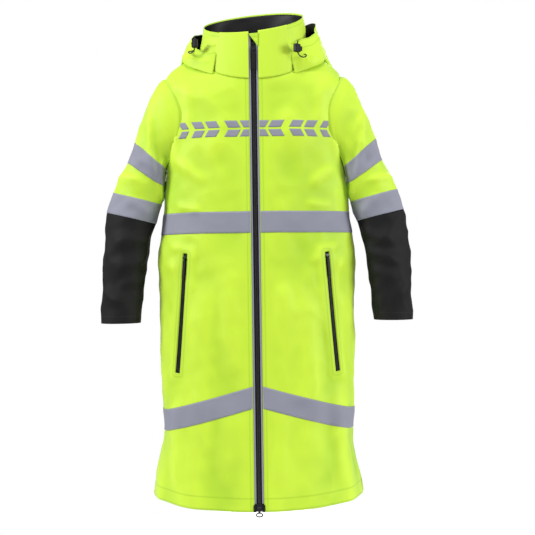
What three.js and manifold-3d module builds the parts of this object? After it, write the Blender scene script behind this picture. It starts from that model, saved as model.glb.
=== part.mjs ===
// A long hooded foul weather coat: high visibility shell, black forearms and lining, reflective tape,
// two-way front zip, two long pocket zips and a stowed hood with cord locks.
// Millimetres, +Z up, front of the coat towards -Y, wearer's left towards +X.
// Heights are above the front hem until the last group moves the origin to the hang loop.
import * as THREE from 'three';
import { mergeVertices } from 'three/addons/utils/BufferGeometryUtils.js';
import Module from 'manifold-3d';

// ---- Driving dimensions -------------------------------------------------------------------------
const GAP = 0.3; // between pieces that lie against each other
const SEAM_GAP = 0.5; // between sewn cloth edges
const CLOTH = 1.6; // outer shell, coated cloth
const LINING = 1.0;

const NECK_FRONT_H = 998; // collar seam, centre front
const NECK_SIDE_H = 1072;
const NECK_BACK_H = 1085;
const NECK_HALF_WIDTH = 132;
const NECK_BACK_DEPTH = 82;
const SHOULDER_FRONT_H = 930; // where the walls start to turn over to the neck
const SHOULDER_SIDE_H = 1000;
const SHOULDER_BACK_H = 985;
const FRONT_DEPTH_HEM = 150; // the front edge is one straight line, so that the zip is straight
const FRONT_RAKE = 0.06; // its lean back per millimetre of height
const SECTION_POWER = 2 / 2.3; // rounded-rectangle sections
const HALF_WIDTHS = [[-40, 249], [0, 247], [70, 242], [150, 229], [250, 231], [400, 235], [520, 237],
  [590, 238], [640, 229], [690, 223], [747, 221], [860, 214], [1000, 215]];
const BACK_DEPTHS = [[-40, 151], [0, 150], [150, 140], [400, 132], [650, 122], [850, 122], [1000, 106]];

const COLLAR_GAP = 1.5; // between the collar's foot and the panels
const COLLAR_FRONT_H = 1107;
const COLLAR_SIDE_H = 1141;
const COLLAR_BACK_H = 1175;
const COLLAR_HALF_WIDTH = 120;
const COLLAR_BACK_DEPTH = 92;
const FACING_END = THREE.MathUtils.degToRad(41); // how far round the smooth front facings go
const FACING_CLOTH = 1.2;

const VENT_H = 150; // side vents
const VENT_HALF_OPEN = 0.03; // radians each side at the hem
const SIDE_GAP = 0.004; // radians each side above them
const SIDE_SEAM = Math.PI / 2;

const LINING_DEPTH = [3.6, 9.6]; // its outer face inside the shell: at its edges and in the middle
const LINING_BACK = [7.2, 10.6]; // and its inner face
const LINING_HEM_H = 32;
const LINING_FRONT_X = 27;
const LINING_RAMP = 0.12; // share of its width and height over which it comes up to the shell

const BAND = 50; // reflective tape width
const BAND_INSET = 0.01; // share of its panel's width that a tape stops short of each edge
const BAND_OUT = 2.2; // tape's outer face above the shell
const CORE_STEP = 0.002; // keeps the offset's slopes on the surface
const TRIM_DEPTH = 9; // how deep the shell is taken when pieces are trimmed to lie on it
const WAIST_BAND_H = 662;
const LOWER_BAND_FRONT_H = 262;
const LOWER_BAND_SIDE_H = 196;

// Sleeve sections from inside the armhole to the cuff: outer x, outer h, inner x, inner h, half depth, y.
const SLEEVE_SECTIONS = [
  [140, 1000, 100, 800, 60, 0], [213, 1012, 150, 800, 64, 0], [249, 973, 174, 800, 64, 0],
  [270, 925, 192, 796, 63, 0], [291, 862, 205, 788, 61, -1], [309, 813, 216, 748, 60, -3],
  [326, 777, 220, 728, 59, -5], [341, 740, 226, 710, 58, -7], [357, 692, 241, 664, 57, -10],
  [365, 640, 252, 625, 56, -14], [369, 585, 258, 578, 54, -20], [371, 530, 266, 528, 52, -26],
  [372, 480, 272, 479, 50, -31], [372, 429, 277, 429, 48, -35]];
const BAND_UPPER = [4, 5]; // sections that bound the upper sleeve tape
const BAND_LOWER = [7, 8]; // and the lower one, which ends at the black forearm
const SLEEVE_LINING = [2, 12.7];
const SLEEVE_EASE = 0.9; // between a sleeve and its lining
const SECTION_SEAM = 0.012; // in sections, half the gap at the forearm seam
const ARMHOLE_LAP = 5; // the shell laps this far inside the sleeve

const ZIP_TOP_H = 1080;
const PANEL_EDGE_X = 11; // front edge of each panel
const TOP_SLIDER_Z = 1066; // where the closed zip's sliders rest
const BOTTOM_SLIDER_Z = 9.5;
const GARAGE = [[-11, 1104], [12, 1106], [11, 1074]]; // the folded cloth corner over the zip's top end
const GARAGE_DEPTH = [-3.3, -2.3];
const PIPING = [6.6, 10.6]; // reflective piping beside the chain
const PIPING_THICK = 1.7;
const PIPING_OVER = 22; // how far it runs on above the zip
const CHAIN_HALF = 3.2; // half width of the meshed teeth
const CHAIN_SLOT = 0.6; // half the slot between the two rows, for the slider's web
const CHAIN_THICK = 2.6;
const CHAIN_MID = 2.9; // depth of the chain's middle plane behind the shell's face
const ZIP_TAPE_X = 13;
const ZIP_TAPE_THICK = 0.8;
const PLATE = 1.4; // slider plates
const SLIDER_LENGTH = 17;
const SLIDER_HALF_WIDTH = 6.1;
const WEB_HALF = 0.25;
const WEB_LENGTH = 6;
const PIN_RADIUS = 0.8;
const EYE_RADIUS = 2.1;
const CHEEK = 1.1;
const PULL_HALF = 4.6;
const PULL_LENGTH = 45;
const PULL_THICK = 1.5;
const END_PATCH_H = 16; // black reinforcement at the bottom of the zip tapes
const END_PATCH_X = [6.6, 12.6];
const END_PATCH_THICK = 0.9;
const RING_HALF_WIDTH = 8.5;
const RING_HALF_HEIGHT = 5.5;
const RING_WIRE = 1.3;
const RING_NECK = 8;

const POCKET_TOP = [165, 590];
const POCKET_BOTTOM = [187, 312];
const POCKET_SLOT_HALF = 4.6;
const POCKET_TAPE_HALF = POCKET_SLOT_HALF - 0.4;
const POCKET_CHAIN_HALF = 2.1;
const POCKET_CHAIN_THICK = 1.8;
const POCKET_CHAIN_MID = 1.4; // depth of its middle plane behind the shell's face
const POCKET_SLIDER_LENGTH = 12;
const POCKET_SLIDER_HALF = POCKET_SLOT_HALF - 0.7;
const POCKET_PULL_LENGTH = 46;
const POCKET_PULL_HALF = 3;
const BAG_DEPTH = 6.4; // its outer face inside the shell
const BAG_H = [330, 560];
const BAG_X = [95, 205];

const CORD_RADIUS = 1.4;
const LOCK_LENGTH = 18;
const LOCK_HEIGHT = 19;
const LOCK_THICK = 11;
const LOCK_WALL = 2;
const LOCK_BEVEL = 1.5;
const PLUNGER_REST = 7; // how far the button stands out
const PLUNGER_TRAVEL = 3;
const CORD_HOLE = CORD_RADIUS + 0.8;

const LOOP_HALF = 32; // hang loop
const LOOP_RISE = 26;
const LOOP_STRAP = 7;
const LOOP_THICK = 1.4;
const LOOP_LEAN = THREE.MathUtils.degToRad(20); // its top stands off the collar
const LOOP_FOOT_Y = 77.2;
const LOOP_FOOT_H = 1098;
const HANG_Y = LOOP_FOOT_Y - LOOP_RISE * Math.sin(LOOP_LEAN); // the loop's top is the origin
const HANG_H = LOOP_FOOT_H + LOOP_RISE * Math.cos(LOOP_LEAN);

const COLUMNS = 9; // facets in a quarter of the body
const ROWS = 15;
const SLEEVE_SIDES = 18;

// ---- Materials ----------------------------------------------------------------------------------
const material = (color, roughness, metalness = 0) =>
  new THREE.MeshStandardMaterial({ color, roughness, metalness });
const yellowCloth = () => material(0xc4ee33, 0.8);
const blackCloth = () => material(0x262626, 0.85);
const liningCloth = () => material(0x17161a, 0.7);
const reflective = () => material(0x969bb0, 0.4);
const blackPlastic = () => material(0x1b1b1d, 0.45);
const steel = () => material(0x9b9ca0, 0.3, 1);

// ---- Solid makers -------------------------------------------------------------------------------
const wasm = await Module();
wasm.setup();
const lerp = THREE.MathUtils.lerp;
const ramp = (t) => THREE.MathUtils.smoothstep(t, 0, 1);
const power = (v, p) => Math.sign(v) * Math.abs(v) ** p;

function table(rows) {
  const heights = rows.map(([h]) => h);
  const values = rows.map(([, v]) => v);
  const curve = new THREE.CubicInterpolant(heights, values, 1);
  return (h) => curve.evaluate(THREE.MathUtils.clamp(h, heights[0], heights.at(-1)))[0];
}

/** Welds a geometry, drops empty faces and turns its faces out. */
function welded(geometry) {
  geometry.deleteAttribute('normal');
  geometry.deleteAttribute('uv');
  const solid = mergeVertices(geometry, 1e-4);
  const at = (i) => new THREE.Vector3().fromBufferAttribute(solid.attributes.position, i);
  const faces = [];
  let volume = 0;
  for (let i = 0; i < solid.index.count; i += 3) {
    const [a, b, c] = [0, 1, 2].map((k) => solid.index.getX(i + k));
    if (a !== b && b !== c && c !== a) {
      faces.push([a, b, c]);
      volume += at(a).dot(at(b).cross(at(c)));
    }
  }
  solid.setIndex(faces.flatMap(([a, b, c]) => (volume < 0 ? [a, c, b] : [a, b, c])));
  return solid;
}

/** The point at u, v of a surface, moved along its normal. */
function offsetPoint(surface, u, v, distance) {
  const step = 1e-3;
  const across = surface(u + step, v).sub(surface(u - step, v));
  const up = surface(u, v + step).sub(surface(u, v - step));
  return surface(u, v).addScaledVector(across.cross(up).normalize(), distance);
}

/** A cloth panel: surface(u, v) between the offsets inner and outer, which may be functions of u, v. */
function panel(surface, columns, rows, inner, outer) {
  const box = new THREE.BoxGeometry(1, 1, 1, columns, rows, 1);
  const position = box.attributes.position;
  const value = (offset, u, v) => (typeof offset === 'function' ? offset(u, v) : offset);
  for (let i = 0; i < position.count; i += 1) {
    const u = position.getX(i) + 0.5;
    const v = position.getY(i) + 0.5;
    const offset = position.getZ(i) < 0 ? value(inner, u, v) : value(outer, u, v);
    position.setXYZ(i, ...offsetPoint(surface, u, v, offset));
  }
  return welded(box);
}

/** A turned profile of (radius, v) points, each placed by place(u, v, radius). */
function turned(profile, sides, place) {
  const lathe = new THREE.LatheGeometry(profile.map(([r, v]) => new THREE.Vector2(r, v)), sides);
  const position = lathe.attributes.position;
  for (let i = 0; i < position.count; i += 1) {
    const radius = Math.hypot(position.getX(i), position.getZ(i));
    const u = (i / profile.length | 0) % sides / sides;
    position.setXYZ(i, ...place(u, position.getY(i), radius));
  }
  return welded(lathe);
}

/** A tube of cloth around surface(u, v) through the steps in v; u goes once round. */
function tube(surface, sides, steps, inner, outer) {
  const profile = [...steps.map((v) => [1, v]), ...steps.toReversed().map((v) => [2, v]), [1, steps[0]]];
  return turned(profile, sides, (u, v, radius) =>
    offsetPoint(surface, u, v, radius > 1.5 ? outer : inner));
}

/** The filled space inside surface(u, v) for v from 0 to end, grown by an offset. */
function filled(surface, sides, end, offset) {
  const steps = Array.from({ length: end + 1 }, (_, i) => i);
  const profile = [[0, 0], ...steps.map((v) => [1, v]), [0, end]];
  return turned(profile, sides, (u, v, radius) => {
    const rim = offsetPoint(surface, u, v, offset);
    if (radius > 0.5) return rim;
    return rim.add(offsetPoint(surface, u + 0.5, v, offset)).multiplyScalar(0.5).setX(
      (offsetPoint(surface, 0, v, offset).x + offsetPoint(surface, 0.5, v, offset).x) / 2).setY(
      (offsetPoint(surface, 0, v, offset).y + offsetPoint(surface, 0.5, v, offset).y) / 2).setZ(
      (offsetPoint(surface, 0, v, offset).z + offsetPoint(surface, 0.5, v, offset).z) / 2);
  });
}

function toManifold(geometry) {
  const solid = welded(geometry.clone());
  return new wasm.Manifold(new wasm.Mesh({
    numProp: 3,
    vertProperties: new Float32Array(solid.attributes.position.array),
    triVerts: new Uint32Array(solid.index.array),
  }));
}

function fromManifold(solid) {
  const mesh = solid.getMesh();
  const geometry = new THREE.BufferGeometry();
  geometry.setAttribute('position', new THREE.BufferAttribute(new Float32Array(mesh.vertProperties), 3));
  geometry.setIndex(Array.from(mesh.triVerts));
  return geometry;
}

/** What is left of a piece after the cuts, without the slivers that a cut sheds. */
function cut(geometry, ...tools) {
  const left = tools.reduce((solid, tool) => solid.subtract(toManifold(tool)), toManifold(geometry));
  return fromManifold(left.decompose().reduce((a, b) => (a.volume() > b.volume() ? a : b)));
}

const join = (...parts) => fromManifold(parts.map(toManifold).reduce((a, b) => a.add(b)));

function block([x0, x1], [y0, y1], [z0, z1]) {
  const geometry = new THREE.BoxGeometry(x1 - x0, y1 - y0, z1 - z0);
  return geometry.translate((x0 + x1) / 2, (y0 + y1) / 2, (z0 + z1) / 2);
}

/** A round bar along X. */
function bar(radius, half, y, z) {
  return new THREE.CylinderGeometry(radius, radius, 2 * half, 12).rotateZ(Math.PI / 2).translate(0, y, z);
}

function roundedShape(halfWidth, halfHeight, radius) {
  const shape = new THREE.Shape();
  shape.moveTo(-halfWidth + radius, -halfHeight);
  shape.absarc(halfWidth - radius, -halfHeight + radius, radius, -Math.PI / 2, 0);
  shape.absarc(halfWidth - radius, halfHeight - radius, radius, 0, Math.PI / 2);
  shape.absarc(-halfWidth + radius, halfHeight - radius, radius, Math.PI / 2, Math.PI);
  shape.absarc(-halfWidth + radius, -halfHeight + radius, radius, Math.PI, 1.5 * Math.PI);
  return shape;
}

/** A shape drawn in X, Z and given a thickness from y0 to y1. */
function slab(shape, [y0, y1], curveSegments = 5) {
  const geometry = new THREE.ExtrudeGeometry(shape, { depth: y1 - y0, bevelEnabled: false, curveSegments });
  return geometry.rotateX(Math.PI / 2).translate(0, y1, 0);
}

const whole = new THREE.Group();
whole.name = 'coat';

function add(name, geometry, look, parent = whole) {
  const mesh = new THREE.Mesh(geometry, look);
  mesh.name = name;
  parent.add(mesh);
}

const SIDES = [['left', 1], ['right', -1]];
const mirrored = (geometry, side) => (side > 0 ? geometry : welded(geometry.clone().scale(-1, 1, 1)));

// ---- The coat's outer surface -------------------------------------------------------------------
const halfWidth = table(HALF_WIDTHS);
const backDepth = table(BACK_DEPTHS);
const frontDepth = (h) => FRONT_DEPTH_HEM - FRONT_RAKE * h;
const frontOrBack = (theta, front, side, back, p) => {
  const c = Math.cos(theta);
  return lerp(side, c > 0 ? front : back, Math.abs(c) ** p);
};
const neckHeight = (theta) => frontOrBack(theta, NECK_FRONT_H, NECK_SIDE_H, NECK_BACK_H, 1);
const shoulderHeight = (theta) => frontOrBack(theta, SHOULDER_FRONT_H, SHOULDER_SIDE_H, SHOULDER_BACK_H, 2);
const rimHeight = (theta) => frontOrBack(theta, COLLAR_FRONT_H, COLLAR_SIDE_H, COLLAR_BACK_H, 1);

function neckPoint(theta) {
  const depth = Math.cos(theta) > 0 ? frontDepth(NECK_FRONT_H) : NECK_BACK_DEPTH;
  return new THREE.Vector2(NECK_HALF_WIDTH * Math.sin(theta), -depth * Math.cos(theta));
}

/** Theta goes from the centre front (0) by the wearer's left side to the centre back (pi) and on. */
function bodyAt(theta, h) {
  const level = Math.min(h, shoulderHeight(theta));
  const depth = Math.cos(theta) > 0 ? frontDepth(level) : backDepth(level);
  const wall = new THREE.Vector2(
    halfWidth(level) * power(Math.sin(theta), SECTION_POWER),
    -depth * power(Math.cos(theta), SECTION_POWER));
  const q = (h - level) / (neckHeight(theta) - shoulderHeight(theta));
  wall.lerp(neckPoint(theta), lerp(q, q * q, Math.sin(theta) ** 2));
  return new THREE.Vector3(wall.x, wall.y, h);
}

/** The theta at which the front surface is x from the middle. */
function thetaAtX(x, h) {
  let [low, high] = [0, SIDE_SEAM];
  for (let i = 0; i < 30; i += 1) {
    const middle = (low + high) / 2;
    if (bodyAt(middle, h).x < x) low = middle;
    else high = middle;
  }
  return low;
}

function collarAt(theta, v) {
  const neck = neckPoint(theta);
  const depth = Math.cos(theta) > 0 ? frontDepth(COLLAR_FRONT_H) : COLLAR_BACK_DEPTH;
  const rim = new THREE.Vector2(COLLAR_HALF_WIDTH * Math.sin(theta), -depth * Math.cos(theta));
  const foot = neckHeight(theta) + COLLAR_GAP;
  return new THREE.Vector3(...neck.lerp(rim, v), lerp(foot, rimHeight(theta), v));
}

/** Theta where the collar is x from the middle. */
const collarEdge = (x, v) => Math.asin(x / lerp(NECK_HALF_WIDTH, COLLAR_HALF_WIDTH, v));

// ---- Body panels, lining and tape ---------------------------------------------------------------
const sleeveRows = SLEEVE_SECTIONS.length - 1;
const sleeveLine = (i, j) => new THREE.CatmullRomCurve3(
  SLEEVE_SECTIONS.map((s) => new THREE.Vector3(s[i], s[5], s[j])), false, 'centripetal');
const outerLine = sleeveLine(0, 1);
const innerLine = sleeveLine(2, 3);
const sleeveDepth = table(SLEEVE_SECTIONS.map((s, i) => [i, s[4]]));

/** The left sleeve; u goes once round it and v is the section number. */
function sleeveSurface(u, v) {
  const t = THREE.MathUtils.clamp(v / sleeveRows, 0, 1);
  const outer = outerLine.getPoint(t);
  const inner = innerLine.getPoint(t);
  const angle = -2 * Math.PI * u;
  const across = outer.clone().sub(inner).multiplyScalar(Math.cos(angle) / 2);
  const depth = sleeveDepth(v) * Math.sin(angle);
  return outer.add(inner).multiplyScalar(0.5).add(across).add(new THREE.Vector3(0, depth, 0));
}

function armholes() {
  const left = filled(sleeveSurface, SLEEVE_SIDES, 7, -CLOTH - ARMHOLE_LAP);
  return SIDES.map(([, side]) => mirrored(left, side));
}

/** Everything inside the shell's outer face, for trimming what is sewn onto it. */
function bodyCore(offset) {
  const surface = (u, v) => {
    const theta = 2 * Math.PI * u;
    return bodyAt(theta, neckHeight(theta) * v);
  };
  const profile = Array.from({ length: ROWS + 1 }, (_, i) => [1, i / ROWS]);
  return turned([[0, 0], ...profile, [0, 1]], 4 * COLUMNS, (u, v, radius) => {
    const point = offsetPoint(surface, u, Math.min(v, 1 - CORE_STEP), offset);
    return radius > 0.5 ? point : new THREE.Vector3(0, 0, v * NECK_BACK_H);
  });
}

const ventOpening = (h) => VENT_HALF_OPEN * Math.max(0, 1 - h / VENT_H) + SIDE_GAP;

function frontSurface(edgeX, hFrom, hTo) {
  return (u, v) => {
    const guess = lerp(0, SIDE_SEAM, u);
    const h = lerp(hFrom(guess), hTo(guess), v);
    const theta = lerp(thetaAtX(edgeX, h), SIDE_SEAM - ventOpening(h), u);
    return bodyAt(theta, h);
  };
}

function backSurface(hFrom, hTo) {
  return (u, v) => {
    const guess = lerp(SIDE_SEAM, 3 * SIDE_SEAM, u);
    const h = lerp(hFrom(guess), hTo(guess), v);
    const opening = ventOpening(h);
    return bodyAt(lerp(SIDE_SEAM + opening, 3 * SIDE_SEAM - opening, u), h);
  };
}

/** The same surface, stopping short of both its side edges, or past them where share is negative. */
const inset = (surface, share) => (u, v) => surface(lerp(share, 1 - share, u), v);
const hem = () => 0;
const armholeTools = armholes();

function frontPanel() {
  return panel(frontSurface(PANEL_EDGE_X, hem, neckHeight), COLUMNS, ROWS, -CLOTH, 0);
}

function backPanel() {
  return cut(panel(backSurface(hem, neckHeight), 2 * COLUMNS, ROWS, -CLOTH, 0), ...armholeTools);
}

const liningSurface = (u, v) => {
  const guess = 2 * Math.PI * u;
  const h = lerp(LINING_HEM_H, neckHeight(guess) - 12, v);
  const edge = thetaAtX(LINING_FRONT_X, h);
  return bodyAt(lerp(edge, 2 * Math.PI - edge, u), h);
};

/** Minus the lining's depth, which is less near its edges. */
const liningOffset = ([edge, middle], extra = 0) => (u, v) =>
  extra - lerp(edge, middle, ramp(Math.min(u, 1 - u, v, 1 - v) / LINING_RAMP));

const liningLayer = (inner, outer) => panel(liningSurface, 3 * COLUMNS, 10, inner, outer);

/** One lining from zip to zip, loose in the middle and brought up to the shell at its edges. */
function bodyLining() {
  const space = [ROWS, -CLOTH - 4 * GAP, TRIM_DEPTH];
  const front = panel(inset(frontSurface(PANEL_EDGE_X, hem, neckHeight), -BAND_INSET), COLUMNS, ...space);
  const back = panel(inset(backSurface(hem, neckHeight), -BAND_INSET), 2 * COLUMNS, ...space);
  const cloth = liningLayer(liningOffset(LINING_BACK), liningOffset(LINING_DEPTH));
  return cut(cloth, ...armholeTools, front, mirrored(front, -1), back);
}


const bandRows = (middle) => [(t) => middle(t) - BAND / 2, (t) => middle(t) + BAND / 2];
const waistBandHeight = () => WAIST_BAND_H;
const lowerBandHeight = (theta) =>
  lerp(LOWER_BAND_SIDE_H, LOWER_BAND_FRONT_H, 1 - Math.abs(power(Math.sin(theta), SECTION_POWER)));

function frontBand(middle) {
  const surface = inset(frontSurface(PANEL_EDGE_X, ...bandRows(middle)), BAND_INSET);
  const shell = panel(frontSurface(PANEL_EDGE_X, hem, neckHeight), COLUMNS, ROWS, -TRIM_DEPTH, GAP);
  return cut(panel(surface, COLUMNS, 2, -BAND_OUT, BAND_OUT), shell);
}

function backBand(middle) {
  const shell = panel(backSurface(hem, neckHeight), 2 * COLUMNS, ROWS, -TRIM_DEPTH, GAP);
  return cut(panel(inset(backSurface(...bandRows(middle)), BAND_INSET), 2 * COLUMNS, 2, -BAND_OUT, BAND_OUT), shell);
}

// ---- Sleeves ------------------------------------------------------------------------------------
const sectionSteps = (from, to) => {
  const half = Array.from({ length: 2 * sleeveRows + 1 }, (_, i) => i / 2);
  return [from, ...half.filter((v) => v > from + 0.1 && v < to - 0.1 && (v < 8 || v % 1 === 0)), to];
};

const sleevePiece = ([from, to], inner, outer, ...trims) =>
  cut(tube(sleeveSurface, SLEEVE_SIDES, sectionSteps(from, to), inner, outer), ...trims);

function addSleeves(core) {
  const seam = BAND_LOWER[1];
  const upperSections = [0, seam - SECTION_SEAM];
  const upper = sleevePiece(upperSections, -CLOTH, 0, core);
  const lower = sleevePiece([seam + SECTION_SEAM, sleeveRows], -CLOTH, 0);
  const lining = sleevePiece(SLEEVE_LINING, -CLOTH - SLEEVE_EASE - LINING, -CLOTH - SLEEVE_EASE, core);
  const under = sleevePiece([0, seam + SECTION_SEAM], -TRIM_DEPTH, GAP);
  const upperBand = sleevePiece(BAND_UPPER, -BAND_OUT, BAND_OUT, core, under);
  const lowerBand = sleevePiece([BAND_LOWER[0], seam - 2 * SECTION_SEAM], -BAND_OUT, BAND_OUT, core, under);
  for (const [name, side] of SIDES) {
    add(`sleeve_upper_${name}`, mirrored(upper, side), yellowCloth());
    add(`sleeve_lower_${name}`, mirrored(lower, side), blackCloth());
    add(`sleeve_lining_${name}`, mirrored(lining, side), liningCloth());
    add(`sleeve_tape_upper_${name}`, mirrored(upperBand, side), reflective());
    add(`sleeve_tape_lower_${name}`, mirrored(lowerBand, side), reflective());
  }
}

// ---- Collar and hood ----------------------------------------------------------------------------
/** A layer of the collar from x = edge on one side, to the other side or to a given theta. */
function collarLayer(edge, end, columns, [v0, v1], [inner, outer]) {
  const surface = (u, t) => {
    const v = lerp(v0, v1, t);
    const start = collarEdge(edge, v);
    return collarAt(lerp(start, end ?? 2 * Math.PI - start, u), v);
  };
  return panel(surface, columns, 2, inner, outer);
}

function addCollar() {
  add('collar_shell', collarLayer(PANEL_EDGE_X, null, 4 * COLUMNS, [0, 1], [-CLOTH, 0]), yellowCloth());
  const depth = -CLOTH - SEAM_GAP;
  add('collar_lining', collarLayer(ZIP_TAPE_X + 2, null, 4 * COLUMNS, [-0.08, 0.97],
    [depth - LINING, depth]), liningCloth());
  const facing = collarLayer(PANEL_EDGE_X, FACING_END, 5, [0.02, 1], [SEAM_GAP, SEAM_GAP + FACING_CLOTH]);
  for (const [name, side] of SIDES) {
    add(`collar_facing_${name}`, mirrored(facing, side), yellowCloth());
  }
}

const HOOD_START = FACING_END + THREE.MathUtils.degToRad(2);
const HOOD_CLEAR = 4; // inside of the hood above the shoulders and back
const HOOD_DROP = [8, 16, 190]; // how far it hangs below the collar seam: front, side, back
const HOOD_RIM_OUT = [7, 13, 62]; // its rim's distance outside the collar
const HOOD_RIM_H = [1078, 1112, 1138];
const HOOD_BULGE = [6, 22, 78];

/** A value that goes from the front end by the side to the back of the hood. */
function aroundHood(theta, [front, side, back]) {
  const turn = Math.abs(Math.PI - theta);
  const t = (Math.PI - turn - HOOD_START) / (Math.PI - HOOD_START);
  const atSide = (SIDE_SEAM - HOOD_START) / (Math.PI - HOOD_START);
  return t < atSide ? lerp(front, side, t / atSide) : lerp(side, back, ramp((t - atSide) / (1 - atSide)));
}

/** The stowed hood: from the collar seam down the back, round its bottom and up to its rim. */
function hoodAt(theta, v) {
  const inward = 0.4;
  const drop = aroundHood(theta, HOOD_DROP);
  const clear = (k, out) => {
    const h = neckHeight(theta) - drop * k - 1;
    return offsetPoint((u, w) => bodyAt(u, w * 1000), theta, h / 1000, out);
  };
  if (v < inward) return clear(v / inward, HOOD_CLEAR);
  const k = (v - inward) / (1 - inward);
  const neck = neckPoint(theta);
  const away = new THREE.Vector3(Math.sin(theta), -Math.cos(theta), 0);
  const bulge = aroundHood(theta, HOOD_BULGE);
  const rimHigh = aroundHood(theta, HOOD_RIM_H);
  const bottom = clear(1, HOOD_CLEAR);
  const rim = new THREE.Vector3(neck.x, neck.y, rimHigh).addScaledVector(away, aroundHood(theta, HOOD_RIM_OUT));
  const low = bottom.clone().addScaledVector(away, bulge).add(new THREE.Vector3(0, 0, -drop * 0.12));
  const high = rim.clone().addScaledVector(away, bulge * 0.5).setZ(lerp(bottom.z, rimHigh, 0.7));
  return new THREE.CubicBezierCurve3(bottom, low, high, rim).getPoint(k);
}

function addHood() {
  const surface = (from, to) => (u, v) => {
    const theta = lerp(HOOD_START, 2 * Math.PI - HOOD_START, u);
    return hoodAt(theta, lerp(from, to, v));
  };
  const shell = [surface(0.04, 1), 30, 12];
  const lining = panel(surface(0.52, 1), 30, 6, -GAP - 2 * LINING, -GAP);
  add('hood_shell', panel(...shell, 0, CLOTH), yellowCloth());
  add('hood_lining', cut(lining, panel(...shell, -GAP, CLOTH + GAP)), liningCloth());
}

function addGarage(zip) {
  const shape = new THREE.Shape(GARAGE.map((p) => new THREE.Vector2(...p)));
  add('zip_garage', slab(shape, GARAGE_DEPTH), yellowCloth(), zip);
}

function addHangLoop() {
  const shape = new THREE.Shape();
  shape.absellipse(0, 0, LOOP_HALF, LOOP_RISE, 0, Math.PI);
  shape.absellipse(0, 0, LOOP_HALF - LOOP_STRAP, LOOP_RISE - LOOP_STRAP, Math.PI, 0, true);
  const loop = new THREE.Group();
  loop.position.set(0, LOOP_FOOT_Y, LOOP_FOOT_H);
  loop.rotation.x = LOOP_LEAN;
  whole.add(loop);
  add('hang_loop', slab(shape, [-LOOP_THICK, 0], 14), blackCloth(), loop);
}

// ---- Zips ---------------------------------------------------------------------------------------
/** In a zip's own frame x is across, z along it and -y out of the coat; y = 0 is the shell's face. */
function addFrontZip() {
  const zip = new THREE.Group();
  zip.position.set(0, -FRONT_DEPTH_HEM, 0);
  zip.rotation.x = -Math.atan(FRONT_RAKE);
  whole.add(zip);
  const length = ZIP_TOP_H;
  for (const [name, side] of SIDES) {
    const tape = block([CHAIN_SLOT, ZIP_TAPE_X],
      [CHAIN_MID - ZIP_TAPE_THICK / 2, CHAIN_MID + ZIP_TAPE_THICK / 2], [1, length]);
    const teeth = block([CHAIN_SLOT, CHAIN_HALF],
      [CHAIN_MID - CHAIN_THICK / 2, CHAIN_MID + CHAIN_THICK / 2], [1, length]);
    const depth = CHAIN_MID - ZIP_TAPE_THICK / 2 - GAP;
    const piping = block(PIPING, [depth - PIPING_THICK, depth], [END_PATCH_H + 2, length + PIPING_OVER]);
    const patch = block(END_PATCH_X, [-END_PATCH_THICK - SEAM_GAP, -SEAM_GAP], [0, END_PATCH_H]);
    const stitched = block([END_PATCH_X[0] + 0.2, PANEL_EDGE_X - 0.6],
      [-SEAM_GAP - GAP, depth], [1, END_PATCH_H - 1]);
    add(`zip_tape_${name}`, mirrored(join(tape, teeth), side), blackCloth(), zip);
    add(`zip_piping_${name}`, mirrored(piping, side), reflective(), zip);
    add(`zip_end_patch_${name}`, mirrored(join(patch, stitched), side), blackPlastic(), zip);
  }
  addGarage(zip);
  addSlider(zip, 'zip_slider_top', { at: TOP_SLIDER_Z, up: 1, ...FRONT_SLIDER });
  addTab(zip, 'zip_pull_top', { at: TOP_SLIDER_Z, ...FRONT_SLIDER, half: PULL_HALF, reach: PULL_LENGTH });
  addSlider(zip, 'zip_slider_bottom', { at: BOTTOM_SLIDER_Z, up: -1, ...FRONT_SLIDER });
  addRing(zip, 'zip_ring_bottom', { at: BOTTOM_SLIDER_Z, ...FRONT_SLIDER });
}

const FRONT_SLIDER = {
  middle: CHAIN_MID, chain: CHAIN_THICK, halfWidth: SLIDER_HALF_WIDTH, length: SLIDER_LENGTH,
};
const POCKET_SLIDER = {
  middle: POCKET_CHAIN_MID, chain: POCKET_CHAIN_THICK, halfWidth: POCKET_SLIDER_HALF, length: POCKET_SLIDER_LENGTH,
};

const plateFace = ({ middle, chain }) => middle - chain / 2 - GAP;
const pinDepth = (size) => plateFace(size) - PLATE - GAP - EYE_RADIUS;
const eyeHalf = (size) => size.halfWidth / 2 - CHEEK / 2;

/** Two plates over and under the chain, the web between its rows, and cheeks with a pin for the pull. */
function addSlider(parent, name, size) {
  const { at, up, middle, chain, halfWidth: half, length } = size;
  const face = plateFace(size);
  const back = middle + chain / 2 + GAP;
  const ends = [at - length / 2, at + length / 2];
  const webEnd = up > 0 ? [ends[1] - WEB_LENGTH, ends[1]] : [ends[0], ends[0] + WEB_LENGTH];
  const pin = pinDepth(size);
  const cheekIn = eyeHalf(size) + GAP;
  const shape = roundedShape(half, length / 2, 2.5);
  const parts = [
    slab(shape, [face - PLATE, face]).translate(0, 0, at),
    slab(shape, [back, back + PLATE]).translate(0, 0, at),
    block([-WEB_HALF, WEB_HALF], [face - PLATE / 2, back + PLATE / 2], webEnd),
    bar(PIN_RADIUS, cheekIn + CHEEK / 2, pin, at),
  ];
  for (const side of [1, -1]) {
    const from = side > 0 ? cheekIn : -cheekIn - CHEEK;
    parts.push(block([from, from + CHEEK], [pin - EYE_RADIUS, face - PLATE / 2], [at - EYE_RADIUS, at + EYE_RADIUS]));
  }
  add(name, join(...parts), steel(), parent);
}

/** The eye that turns on a slider's pin. */
function eye(size, stem) {
  const pin = pinDepth(size);
  const half = eyeHalf(size);
  const neck = block([-half, half], [pin - PULL_THICK / 2, pin + PULL_THICK / 2], [size.at - stem, size.at]);
  return cut(join(bar(EYE_RADIUS, half, pin, size.at), neck), bar(PIN_RADIUS + GAP, half + 1, pin, size.at));
}

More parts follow.
